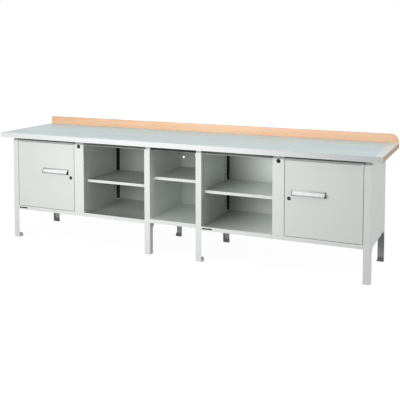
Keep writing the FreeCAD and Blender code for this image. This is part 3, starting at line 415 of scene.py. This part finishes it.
def paintShadeByPlace(tree, place, name, colour, insideShadeColour):
    room = placeGroup(tree, caseRoomMask, Vector=place).outputs
    inside = room["Inside"]
    if name == "shelf_paint":
        # the folded front edge of a shelf keeps the outer colour, without the painted shade of the inside
        facing = axes(tree, addNode(tree, "TexCoord").outputs["Normal"])[1]
        inside = product(tree, inside, maths(tree, "GREATER_THAN", facing, paintedShadeColours["frontEdge"]))
    # painted shade inside the case, times the painted light and shade of the bays
    toned = mixColours(tree, 1.0, insideShadeColour, room["BayLightTone"], "MULTIPLY")
    toned = mixColours(tree, 1.0, toned, paintedShadeColours["palestInside"], "DARKEN")
    colour = mixColours(tree, inside, colour, toned)
    # painted shade in the hollow posts, behind a depth
    deep = maths(tree, "GREATER_THAN", axes(tree, place)[1], paintedShadeColours["hollowDepth"])
    hollowShade = mixColours(tree, deep, paintedShadeColours["frontHollow"], paintedShadeColours["HollowShade"])
    gapShade = mixColours(tree, 1.0, paintedShadeColours["GapShade"], room["GapShadeTone"], "MULTIPLY")
    covers = {"HollowShade": hollowShade, "Strip": paintedShadeColours["Strip"], "GapShade": gapShade,
              "RearLegShade": paintedShadeColours["RearLegShade"]}
    for mask, cover in covers.items():
        colour = mixColours(tree, room[mask], colour, cover)
    return colour


def paintMaterial(name, colour, insideShadeColour, drift, scuffs):
    material, tree, shader, place = newMaterial(name)
    if insideShadeColour:
        colour = paintShadeByPlace(tree, place, name, colour, insideShadeColour)
    skin = placeGroup(tree, powderCoat, Vector=place, Colour=colour, Drift=drift, Scuffs=scuffs).outputs
    feed(tree, shader, {"Base Color": skin["Colour"], "Roughness": skin["Roughness"],
                        "Specular IOR Level": coat["specular"]})
    addBump(tree, shader, skin["Height"], *coat["bump"])
    return material


# Galvanised sheet: spangle, slow blue and green tints, a few long wipe marks, and painted highlights along
# the right end and on the folded front edge

zinc = {
    "spangleScale": 85.0,
    "spangleTurn": 0.5,
    "spangle": ((0.72, 0.84, 0.845, 1.0), (0.78, 0.90, 0.905, 1.0)),
    "tints": [
        # scale, turn, limits of the noise with the share at each, colour
        ((2.1, 3.4, 3.4), 0.0, (0.52, 0.72, 0.0, 0.5), (0.60, 0.76, 0.86, 1.0)),
        ((1.7, 2.9, 2.9), 1.9, (0.54, 0.74, 0.0, 0.45), (0.76, 0.80, 0.74, 1.0)),
    ],
    # painted highlight: pale strip along the right end
    "rightEndHighlight": (1.445, 1.46, 0.0, 0.75),
    "rightEndHighlightColour": (0.95, 0.97, 0.96, 1.0),
    # the folded front edge has a painted highlight, pale and not metallic, with painted shade where the
    # light falls off to the right
    "foldFace": -0.3492,
    "foldHighlight": ((0.78, 0.80, 0.79, 1.0), (0.82, 0.835, 0.825, 1.0)),
    "foldFalloffShade": (0.5, 1.3, 1.0, 0.80),
    "metallic": 0.35,
    "roughness": (0.40, 0.5),
    "wipeScale": (1.5, 45.0, 45.0),
    "wipeRoughness": (0.4, 0.7, 0.0, 0.08),
    "bump": (0.06, 0.0004),
}


def zincMaterial():
    material, tree, shader, place = newMaterial("zinc_sheet")
    turned = stretched(tree, place, (1.0, 1.0, 1.0), zinc["spangleTurn"])
    crystals = addNode(tree, "TexVoronoi", {"Vector": turned, "Scale": zinc["spangleScale"],
                                            "Randomness": 1.0}, feature="F1")
    shades = addNode(tree, "SeparateColor", {0: crystals.outputs["Color"]}).outputs
    x, y = axes(tree, place)[:2]
    colour = mixColours(tree, shades[0], *zinc["spangle"])
    for scale, turn, limits, tint in zinc["tints"]:
        share = ramp(tree, drawnNoise(tree, place, scale, turn=turn), *limits)
        colour = mixColours(tree, share, colour, tint)
    # painted highlight along the right end
    colour = mixColours(tree, ramp(tree, x, *zinc["rightEndHighlight"]), colour, zinc["rightEndHighlightColour"])
    # painted highlight on the folded front edge, with painted shade where the light falls off to the right
    folded = maths(tree, "LESS_THAN", y, zinc["foldFace"])
    litFoldColour = mixColours(tree, 1.0, mixColours(tree, shades[0], *zinc["foldHighlight"]),
                        ramp(tree, x, *zinc["foldFalloffShade"]), "MULTIPLY")
    wipes = drawnNoise(tree, place, zinc["wipeScale"], 4.0, 0.6)
    feed(tree, shader, {
        "Base Color": mixColours(tree, folded, colour, litFoldColour),
        "Metallic": ramp(tree, folded, 0.0, 1.0, zinc["metallic"], 0.0),
        "Roughness": maths(tree, "ADD", ramp(tree, shades[1], 0.0, 1.0, *zinc["roughness"]),
                           ramp(tree, wipes, *zinc["wipeRoughness"])),
    })
    addBump(tree, shader, maths(tree, "ADD", shades[2], wipes), *zinc["bump"])
    return material


# Wood: long fibres and short pores along X, in a light and a dark colour

grain = {
    "fibreScale": (2.2, 95.0, 95.0),
    "fibreShare": 0.6,
    "bandScale": (0.9, 9.0, 9.0),
    "bandShare": 0.4,
    "toneLimits": (0.36, 0.66),
    "poreScale": (75.0, 900.0, 900.0),
    "poreLimits": (0.62, 0.72),
    "poreColour": (0.42, 0.22, 0.12, 1.0),
}


def woodGrainGroup():
    group, start, end = newGroup(
        "woodGrain",
        [("Vector", "Vector", None), ("Light", "Color", (0.9, 0.6, 0.4, 1.0)),
         ("Dark", "Color", (0.8, 0.48, 0.3, 1.0)), ("Pores", "Float", 0.35)],
        [("Colour", "Color"), ("Height", "Float")])
    vector = start.outputs["Vector"]
    fibres = drawnNoise(group, vector, grain["fibreScale"], 5.0, 0.62, 0.6)
    bands = drawnNoise(group, vector, grain["bandScale"], 3.0, 0.5, 1.2)
    tone = maths(group, "ADD", product(group, fibres, grain["fibreShare"]),
                 product(group, bands, grain["bandShare"]))
    colour = mixColours(group, ramp(group, tone, *grain["toneLimits"]),
                        start.outputs["Light"], start.outputs["Dark"])
    pores = ramp(group, drawnNoise(group, vector, grain["poreScale"], 1.0, 0.4), *grain["poreLimits"])
    marks = product(group, pores, start.outputs["Pores"])
    feed(group, end, {"Colour": mixColours(group, marks, colour, grain["poreColour"]),
                      "Height": maths(group, "SUBTRACT", fibres, pores)})
    return group


woodGrain = woodGrainGroup()

beech = {
    "light": (0.99, 0.655, 0.415, 1.0),
    "dark": (0.92, 0.52, 0.31, 1.0),
    "pores": 0.3,
    "roughness": 0.42,
    "varnish": 0.25,
    "varnishRoughness": 0.3,
    "bump": (0.12, 0.0005),
}


def ledgeMaterial():
    material, tree, shader, place = newMaterial("ledge_beech")
    wood = placeGroup(tree, woodGrain, Vector=place, Light=beech["light"], Dark=beech["dark"],
                      Pores=beech["pores"]).outputs
    feed(tree, shader, {"Base Color": wood["Colour"], "Roughness": beech["roughness"],
                        "Coat Weight": beech["varnish"], "Coat Roughness": beech["varnishRoughness"]})
    addBump(tree, shader, wood["Height"], *beech["bump"])
    return material


multiplex = {
    # glued layers of beech that lie flat, and every second one shows end grain
    "light": (0.66, 0.50, 0.35, 1.0),
    "dark": (0.56, 0.40, 0.26, 1.0),
    "pores": 0.3,
    "layer": 0.0052,
    "waveScale": (7.0, 7.0, 1.0),
    "waveHeight": 0.0016,
    "endGrainLimits": (0.22, 0.28),
    "dotScale": (700.0, 700.0, 500.0),
    "dotLimits": (0.35, 0.65),
    "endGrain": ((0.46, 0.33, 0.22, 1.0), (0.55, 0.41, 0.28, 1.0)),
    # pale backing sheet under the board
    "backingTop": 0.8117,
    "backing": (0.74, 0.745, 0.73, 1.0),
    "roughness": 0.6,
    "bump": (0.15, 0.0004),
}


def boardMaterial():
    material, tree, shader, place = newMaterial("board_wood")
    wood = placeGroup(tree, woodGrain, Vector=place, Light=multiplex["light"], Dark=multiplex["dark"],
                      Pores=multiplex["pores"]).outputs
    level = axes(tree, place)[2]
    waves = product(tree, drawnNoise(tree, place, multiplex["waveScale"]), multiplex["waveHeight"])
    layer = maths(tree, "FRACT", product(tree, maths(tree, "ADD", level, waves), 1.0 / multiplex["layer"]))
    endGrain = ramp(tree, maths(tree, "PINGPONG", layer, 0.5), *multiplex["endGrainLimits"])
    dots = ramp(tree, drawnNoise(tree, place, multiplex["dotScale"], 2.0, 0.6), *multiplex["dotLimits"])
    colour = mixColours(tree, endGrain, wood["Colour"], mixColours(tree, dots, *multiplex["endGrain"]))
    backing = maths(tree, "LESS_THAN", level, multiplex["backingTop"])
    feed(tree, shader, {"Base Color": mixColours(tree, backing, colour, multiplex["backing"]),
                        "Roughness": multiplex["roughness"]})
    addBump(tree, shader, maths(tree, "ADD", endGrain, wood["Height"]), *multiplex["bump"])
    return material


# Moulded plastic: a fine even grain, and painted shade on the rear feet

plastics = {
    # colour, roughness
    "black_plastic": ((0.008, 0.008, 0.009, 1.0), 0.6),
    "foot_plastic": ((0.74, 0.75, 0.75, 1.0), 0.5),
    "lock_black": ((0.01, 0.01, 0.011, 1.0), 0.5),
    "white_strip": ((0.94, 0.95, 0.94, 1.0), 0.3),
}
moulding = {
    "grainScale": 1400.0,
    "toneScale": 30.0,
    "patchScale": 90.0,
    "limits": (0.3, 0.7),
    "tones": (0.92, 1.06),
    "roughnessSpread": (-0.05, 0.06),
    # a plastic darker than this shines less
    "darkBelow": 0.05,
    "darkSpecular": 0.2,
    # painted shade: the rear feet, in the shade under the bench, are darker
    "rearFeetShade": (0.16, 0.165, 0.165, 1.0),
    "bump": (0.15, 0.0002),
}


def specksGroup():
    group, start, end = newGroup(
        "specks", [("Vector", "Vector", None), ("Scale", "Float", 1500.0)], [("Height", "Float")])
    feed(group, end, {"Height": noise(group, start.outputs["Vector"], start.outputs["Scale"])})
    return group


specks = specksGroup()


def plasticMaterial(name, colour, roughness):
    material, tree, shader, place = newMaterial(name)
    limits = moulding["limits"]
    tone = ramp(tree, noise(tree, place, moulding["toneScale"], 3.0), *limits, *moulding["tones"])
    shade = mixColours(tree, 1.0, colour, tone, "MULTIPLY")
    if name == "foot_plastic":
        # painted shade on the rear feet
        rear = maths(tree, "GREATER_THAN", axes(tree, place)[1], 0.0)
        shade = mixColours(tree, rear, shade, moulding["rearFeetShade"])
    if max(colour[:3]) < moulding["darkBelow"]:
        feed(tree, shader, {"Specular IOR Level": moulding["darkSpecular"]})
    patches = noise(tree, place, moulding["patchScale"], 3.0)
    roughs = [roughness + change for change in moulding["roughnessSpread"]]
    feed(tree, shader, {"Base Color": shade, "Roughness": ramp(tree, patches, *limits, *roughs)})
    dots = placeGroup(tree, specks, Vector=place, Scale=moulding["grainScale"])
    addBump(tree, shader, dots.outputs["Height"], *moulding["bump"])
    return material


# Drawn or brushed metal: lines along X

metals = {
    # colour, roughness, bump of the lines
    "handle_aluminium": ((0.38, 0.385, 0.385, 1.0), 0.46, 0.12),
    "screw_steel": ((0.62, 0.63, 0.64, 1.0), 0.36, 0.05),
    "lock_metal": ((0.06, 0.06, 0.062, 1.0), 0.32, 0.05),
}
brushing = {
    "lineScale": (5.0, 1400.0, 1400.0),
    "toneScale": 60.0,
    "limits": (0.3, 0.7),
    "tones": (0.93, 1.04),
    "roughnessSpread": (-0.06, 0.08),
    "metallic": 0.9,
    "bumpDistance": 0.0002,
}


def fineLinesGroup():
    group, start, end = newGroup("fineLines", [("Vector", "Vector", None)], [("Lines", "Float")])
    lines = drawnNoise(group, start.outputs["Vector"], brushing["lineScale"], 3.0, 0.6)
    feed(group, end, {"Lines": lines})
    return group


fineLines = fineLinesGroup()


def metalMaterial(name, colour, roughness, strength):
    material, tree, shader, place = newMaterial(name)
    lines = placeGroup(tree, fineLines, Vector=place).outputs["Lines"]
    limits = brushing["limits"]
    tone = ramp(tree, noise(tree, place, brushing["toneScale"], 3.0), *limits, *brushing["tones"])
    roughs = [roughness + change for change in brushing["roughnessSpread"]]
    feed(tree, shader, {"Base Color": mixColours(tree, 1.0, colour, tone, "MULTIPLY"),
                        "Metallic": brushing["metallic"],
                        "Roughness": ramp(tree, lines, *limits, *roughs)})
    addBump(tree, shader, lines, strength, brushing["bumpDistance"])
    return material


def makeMaterials():
    made = {"zinc_sheet": zincMaterial(), "ledge_beech": ledgeMaterial(), "board_wood": boardMaterial()}
    for rows, maker in ((paints, paintMaterial), (plastics, plasticMaterial), (metals, metalMaterial)):
        for name, values in rows.items():
            made[name] = maker(name, *values)
    return made


def wear(item, material):
    # a CAD node takes the material of its slot in the record
    if not item.data.materials:
        item.data.materials.append(material)
    for slot in item.material_slots:
        slot.material = material


placeCamera()
lightStudio()
layFloor()
print("camera, lamps and floor placed")

finishes = makeMaterials()
for part in frame["record"]["subparts"]:
    wear(cadNodes[part["node"]], finishes[part["material_slot"]])
print("materials made:", len(finishes))


# Modelling helpers

modelling = {
    # points nearer than this are merged
    "merge": 0.00001,
    # angles in degrees: within a flat face, at an edge that is eased, at one that is drawn sharp
    "flatAngle": 0.5,
    "easedAngle": 30.0,
    "sharpAngle": 30.0,
    # a face looks along an axis when its normal reaches this far along it
    "facing": 0.9,
}


def pickOnly(item):
    bpy.ops.object.select_all(action="DESELECT")
    item.select_set(True)
    bpy.context.view_layer.objects.active = item


def editPiece(item):
    # edit mode on one object alone, with nothing selected in it
    pickOnly(item)
    bpy.ops.object.mode_set(mode="EDIT")
    bpy.ops.mesh.select_mode(type="FACE")
    bpy.ops.mesh.select_all(action="DESELECT")


def pickFaces(item, test):
    # test gets each face's middle and normal
    mesh = bmesh.from_edit_mesh(item.data)
    for face in mesh.faces:
        face.select_set(bool(test(face.calc_center_median(), face.normal)))
    bmesh.update_edit_mesh(item.data)


def closeEdit():
    # outward normals, then back to object mode
    bpy.ops.mesh.select_all(action="SELECT")
    bpy.ops.mesh.remove_doubles(threshold=modelling["merge"])
    bpy.ops.mesh.normals_make_consistent(inside=False)
    bpy.ops.object.mode_set(mode="OBJECT")


def addBlock(low, high):
    # a cube primitive stretched between two corners
    middle = [(a + b) / 2 for a, b in zip(low, high)]
    bpy.ops.object.select_all(action="DESELECT")
    bpy.ops.mesh.primitive_cube_add(size=1.0, location=middle)
    item = bpy.context.object
    item.scale = [b - a for a, b in zip(low, high)]
    bpy.ops.object.transform_apply(location=True, rotation=True, scale=True)
    return item


def addCylinder(sides, radius, depth, level=0.0):
    # a cylinder round the Z axis, used as a cutter
    bpy.ops.object.select_all(action="DESELECT")
    bpy.ops.mesh.primitive_cylinder_add(vertices=sides, radius=radius, depth=depth,
                                        location=(0.0, 0.0, level))
    return bpy.context.object


def drawRings(profile, sides):
    # a round piece on the Z axis: a circle, extruded and resized from ring to ring
    bpy.ops.object.select_all(action="DESELECT")
    radius, level = profile[0]
    bpy.ops.mesh.primitive_circle_add(vertices=sides, radius=radius, fill_type="NOTHING",
                                      location=(0.0, 0.0, level))
    item = bpy.context.object
    bpy.ops.object.transform_apply(location=True, rotation=True, scale=True)
    bpy.ops.object.mode_set(mode="EDIT")
    bpy.ops.mesh.select_mode(type="EDGE")
    bpy.ops.mesh.select_all(action="SELECT")
    bpy.ops.mesh.edge_face_add()
    for nextRadius, nextLevel in profile[1:]:
        bpy.ops.mesh.extrude_edges_move(TRANSFORM_OT_translate={"value": (0.0, 0.0, nextLevel - level)})
        scale = nextRadius / radius
        bpy.ops.transform.resize(value=(scale, scale, 1.0), center_override=(0.0, 0.0, nextLevel))
        radius, level = nextRadius, nextLevel
    bpy.ops.mesh.edge_face_add()
    closeEdit()
    return item


def runModifier(item, kind, **settings):
    pickOnly(item)
    modifier = item.modifiers.new(kind.lower(), kind)
    for name, value in settings.items():
        setattr(modifier, name, value)
    bpy.ops.object.modifier_apply(modifier=modifier.name)


def softenEdges(item, width, steps=2):
    runModifier(item, "BEVEL", width=width, segments=steps, limit_method="ANGLE",
                angle_limit=math.radians(modelling["easedAngle"]), use_clamp_overlap=True)


def cutWith(item, tool):
    runModifier(item, "BOOLEAN", object=tool, operation="DIFFERENCE", solver="EXACT")
    bpy.data.objects.remove(tool)


def mergedCopy(name):
    # a copy of a CAD node's mesh with its loose triangles joined and flat faces rebuilt
    source = cadNodes[name]
    item = bpy.data.objects.new(name + "Copy", source.data.copy())
    item.data.transform(source.matrix_world)
    bpy.context.scene.collection.objects.link(item)
    editPiece(item)
    bpy.ops.mesh.select_all(action="SELECT")
    bpy.ops.mesh.remove_doubles(threshold=modelling["merge"])
    bpy.ops.mesh.dissolve_limited(angle_limit=math.radians(modelling["flatAngle"]))
    bpy.ops.object.mode_set(mode="OBJECT")
    return item


def placedCopy(item, matrix):
    twin = item.copy()
    twin.data = item.data.copy()
    bpy.context.scene.collection.objects.link(twin)
    twin.data.transform(matrix)
    if matrix.to_3x3().determinant() < 0:
        twin.data.flip_normals()
    return twin


def joinPieces(items):
    pickOnly(items[0])
    for item in items[1:]:
        item.select_set(True)
    bpy.ops.object.join()
    return bpy.context.view_layer.objects.active


def finishPiece(item, name, slot, body, *nodes):
    # name, finish and body of a piece that is in its final shape and place
    item.name = name
    item.data.name = name
    pickOnly(item)
    bpy.ops.object.transform_apply(location=True, rotation=True, scale=True)
    bpy.ops.object.shade_smooth_by_angle(angle=math.radians(modelling["sharpAngle"]))
    item.data.materials.clear()
    item.data.materials.append(finishes[slot])
    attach(item, body)
    if nodes:
        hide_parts(*nodes)


toFront = Matrix.Rotation(math.pi / 2, 4, "X")
toRear = Matrix.Rotation(-math.pi / 2, 4, "X")
toLeft = Matrix.Rotation(-math.pi / 2, 4, "Y")
toRight = Matrix.Rotation(math.pi / 2, 4, "Y")
mirrored = Matrix.Scale(-1, 4, (1.0, 0.0, 0.0))


# Bolts of the back panels and of the middle bay

bolts = {
    "sides": 20,
    "headRadius": 0.0055,
    "headHeight": 0.003,
    "flangeHeight": 0.0007,
    # the dome over the flange: its share of the radius, its arc in degrees, its rings
    "domeShare": 0.94,
    "domeArc": 62,
    "domeRings": 5,
    "shankRadius": 0.003,
    "shankLength": 0.009,
    "socketRadius": 0.0023,
    "socketDepth": 0.0017,
    "panelColumns": (0.2065, 1.399),
    "panelRows": (0.305, 0.50625, 0.7075),
    "panelFace": 0.256,
    "middleColumn": 0.109,
    "middleRows": (0.25475, 0.770),
    "middleFace": 0.2545,
    # depth and height of the bolts through the middle bay's sides
    "sideSpots": [(-0.2205, 0.25475), (0.1785, 0.25475), (-0.1405, 0.5605), (0.1785, 0.5605),
                  (-0.2205, 0.770), (0.1785, 0.770)],
    "sideFace": 0.1825,
}


def makeBolts():
    radius, height, base = bolts["headRadius"], bolts["headHeight"], bolts["flangeHeight"]
    profile = [(bolts["shankRadius"], -bolts["shankLength"]), (bolts["shankRadius"], 0.0),
               (radius, 0.0), (radius, base)]
    arc = math.radians(bolts["domeArc"])
    for step in range(1, bolts["domeRings"] + 1):
        turn = step / bolts["domeRings"] * arc
        level = base + (height - base) * math.sin(turn) / math.sin(arc)
        profile.append((radius * bolts["domeShare"] * math.cos(turn), level))
    head = drawRings(profile, bolts["sides"])
    cutWith(head, addCylinder(6, bolts["socketRadius"], 2 * bolts["socketDepth"], height))

    spots = []
    for x in bolts["panelColumns"]:
        for z in bolts["panelRows"]:
            spots += [(toRear, (side * x, bolts["panelFace"], z)) for side in (-1, 1)]
    for z in bolts["middleRows"]:
        spots += [(toRear, (side * bolts["middleColumn"], bolts["middleFace"], z)) for side in (-1, 1)]
    for y, z in bolts["sideSpots"]:
        spots.append((toLeft, (bolts["sideFace"], y, z)))
        spots.append((toRight, (-bolts["sideFace"], y, z)))
    copies = [placedCopy(head, Matrix.Translation(spot) @ turn) for turn, spot in spots]
    bpy.data.objects.remove(head)
    finishPiece(joinPieces(copies), "housingBolts", "screw_steel", "cupboards", "housing_bolts")
    print("bolts made:", len(spots))


# Plugs in the broad stiles

plug = {
    "sides": 40,
    "stemRadius": 0.006,
    "stemLength": 0.008,
    "tipShare": 0.8,
    "tipLength": 0.0015,
    "headRadius": 0.0145,
    "headHeight": 0.002,
    "dimpleRadius": 0.004,
    # rings of the head and of the dimple: shares of their radius and of the head's height
    "headRings": [(1.0, 0.0), (1.0, 0.3), (0.965, 0.62), (0.87, 0.85), (0.7, 1.0)],
    "dimpleRings": [(1.0, 1.0), (0.8, 0.7)],
    "places": [(-0.8, -0.2955, 0.7695), (0.8, -0.2955, 0.7695)],
}


def makePlugs():
    stem, length, height = plug["stemRadius"], plug["stemLength"], plug["headHeight"]
    profile = [(stem * plug["tipShare"], -length), (stem, -length + plug["tipLength"]), (stem, 0.0)]
    profile += [(plug["headRadius"] * wide, height * up) for wide, up in plug["headRings"]]
    profile += [(plug["dimpleRadius"] * wide, height * up) for wide, up in plug["dimpleRings"]]
    cap = drawRings(profile, plug["sides"])
    copies = [placedCopy(cap, Matrix.Translation(spot) @ toFront) for spot in plug["places"]]
    bpy.data.objects.remove(cap)
    finishPiece(joinPieces(copies), "stilePlugs", "black_plastic", "cupboards", "stile_plugs")
    print("plugs made:", len(copies))


# Feet: a plate under the leg and a ribbed insert in its corner

foot = {
    "plateHeight": 0.003,
    "plateEdge": 0.0011,
    "topLevel": 0.025,
    "sunk": 0.0004,
    "insertEdge": 0.0004,
    "ribs": [(0.0065, 0.0085), (0.0115, 0.0135), (0.0165, 0.0185)],
    "ribRise": 0.0007,
    # limits of plate and of insert: x from the middle for each post, y for each row
    "posts": {"outer": ((1.370, 1.423), (1.3775, 1.4215)), "inner": ((0.184, 0.234), (0.1855, 0.2295))},
    "rows": {"front": ((-0.2955, -0.2455), (-0.294, -0.250)), "rear": ((0.234, 0.256), (0.2365, 0.2545))},
}


def makeFoot(post, row):
    (plateLeft, plateRight), (insertLeft, insertRight) = foot["posts"][post]
    (plateFront, plateRear), (insertFront, insertRear) = foot["rows"][row]
    plate = addBlock((plateLeft, plateFront, 0.0), (plateRight, plateRear, foot["plateHeight"]))
    softenEdges(plate, foot["plateEdge"], 3)
    block = addBlock((insertLeft, insertFront, foot["plateHeight"] - foot["sunk"]),
                     (insertRight, insertRear, foot["topLevel"]))
    editPiece(block)
    for rib in foot["ribs"]:
        for level in rib:
            bpy.ops.mesh.select_all(action="SELECT")
            bpy.ops.mesh.bisect(plane_co=(0.0, 0.0, level), plane_no=(0.0, 0.0, 1.0))
    bpy.ops.mesh.select_mode(type="FACE")
    # the ribs stand out on the two sides that the leg leaves free
    freeX = -1.0 if post == "outer" else 1.0
    freeY = 1.0 if row == "front" else -1.0

    def onRib(middle, normal):
        free = max(normal.x * freeX, normal.y * freeY) > modelling["facing"]
        return free and any(low < middle.z < high for low, high in foot["ribs"])

    pickFaces(block, onRib)
    bpy.ops.mesh.extrude_region_shrink_fatten(TRANSFORM_OT_shrink_fatten={"value": foot["ribRise"]})
    closeEdit()
    softenEdges(block, foot["insertEdge"])
    return joinPieces([plate, block])


def makeFeet():
    # modelled at the right, and mirrored for the left
    models = [makeFoot(post, row) for post in foot["posts"] for row in foot["rows"]]
    for side, matrix in (("left", mirrored), ("right", Matrix.Identity(4))):
        feet = joinPieces([placedCopy(model, matrix) for model in models])
        finishPiece(feet, "feet" + side.capitalize(), "foot_plastic", "cupboards", "feet_" + side)
    for model in models:
        bpy.data.objects.remove(model)
    print("feet made")


# Handles: profile, strip and end caps with eased edges

handle = {
    "pieces": [
        # piece, node, slot, width of the eased edges
        ("handleProfile", "handle_profile", "handle_aluminium", 0.0006),
        ("handleStrip", "handle_insert", "white_strip", 0.0003),
        ("handleCaps", "handle_caps", "black_plastic", 0.0005),
    ],
}


def makeHandles():
    for side in ("left", "right"):
        for name, nodeStart, slot, width in handle["pieces"]:
            node = f"{nodeStart}_{side}"
            item = mergedCopy(node)
            softenEdges(item, width)
            finishPiece(item, name + side.capitalize(), slot, "door_" + side, node)
    print("handles made")


# Locks: a round rim in the door and a core with its key slot

lockSet = {
    "sides": 48,
    # x from the middle
    "place": (0.875, -0.2955, 0.520),
    "barrelRadius": 0.009,
    "barrelLength": 0.018,
    "rimRadius": 0.013,
    "rimHeight": 0.002,
    "bore": 0.00708,
    "cutterLength": 0.06,
    # rings of the rim and round the bore: shares of their radius and of the rim's height
    "rimRings": [(1.0, 0.0), (1.0, 0.35), (0.965, 0.75), (0.9, 1.0)],
    "boreRings": [(1.25, 1.0), (1.1, 0.8)],
    "coreEdge": 0.0003,
}


def makeLocks():
    barrel, height = lockSet["barrelRadius"], lockSet["rimHeight"]
    profile = [(barrel, -lockSet["barrelLength"]), (barrel, 0.0)]
    profile += [(lockSet["rimRadius"] * wide, height * up) for wide, up in lockSet["rimRings"]]
    profile += [(lockSet["bore"] * wide, height * up) for wide, up in lockSet["boreRings"]]
    sleeve = drawRings(profile, lockSet["sides"])
    cutWith(sleeve, addCylinder(lockSet["sides"], lockSet["bore"], lockSet["cutterLength"]))
    x, y, z = lockSet["place"]
    for side, sign in (("left", -1), ("right", 1)):
        end = side.capitalize()
        item = placedCopy(sleeve, Matrix.Translation((sign * x, y, z)) @ toFront)
        finishPiece(item, "lockRim" + end, "lock_black", "door_" + side, "lock_sleeve_" + side)
        core = mergedCopy("lock_core_" + side)
        softenEdges(core, lockSet["coreEdge"], 1)
        finishPiece(core, "lockCore" + end, "lock_metal", "lock_" + side, "lock_core_" + side)
    bpy.data.objects.remove(sleeve)
    print("locks made")


# Black strips that close the slots in two floor lips, as painted shade: dark pieces where the slots show
# their shaded inside

lipStrip = {
    "front": -0.2939,
    "thickness": 0.0025,
    # how far a strip reaches past its slot, and less at its left end, beside the leg
    "margin": 0.004,
    "leftMargin": 0.001,
    # a raised field that stays clear of the slot's edges
    "clearance": 0.0008,
    "rise": 0.0009,
    "edge": 0.0003,
    # left end, right end, bottom and top of each slot
    "slots": {"Left": (-1.370, -1.292, 0.239, 0.249), "Right": (0.234, 0.312, 0.239, 0.249)},
}


def makeLipStrips():
    margin, front = lipStrip["margin"], lipStrip["front"]
    for side, (left, right, low, high) in lipStrip["slots"].items():
        strip = addBlock((left - lipStrip["leftMargin"], front, low - margin),
                         (right + margin, front + lipStrip["thickness"], high + margin))
        editPiece(strip)
        pickFaces(strip, lambda middle, normal: -normal.y > modelling["facing"])
        bpy.ops.mesh.inset(thickness=margin + lipStrip["clearance"])
        bpy.ops.mesh.extrude_region_move(TRANSFORM_OT_translate={"value": (0.0, -lipStrip["rise"], 0.0)})
        closeEdit()
        softenEdges(strip, lipStrip["edge"])
        finishPiece(strip, "lipStrip" + side, "black_plastic", "cupboards")
    print("lip strips made")


# Rear ledge with eased edges

ledge = {"edge": 0.0016, "steps": 3}


def makeLedge():
    item = mergedCopy("rear_ledge")
    softenEdges(item, ledge["edge"], ledge["steps"])
    finishPiece(item, "rearLedge", "ledge_beech", "cupboards", "rear_ledge")
    print("ledge made")


makeBolts()
makePlugs()
makeFeet()
makeHandles()
makeLocks()
makeLipStrips()
makeLedge()

bpy.context.scene.view_settings.view_transform = "Standard"
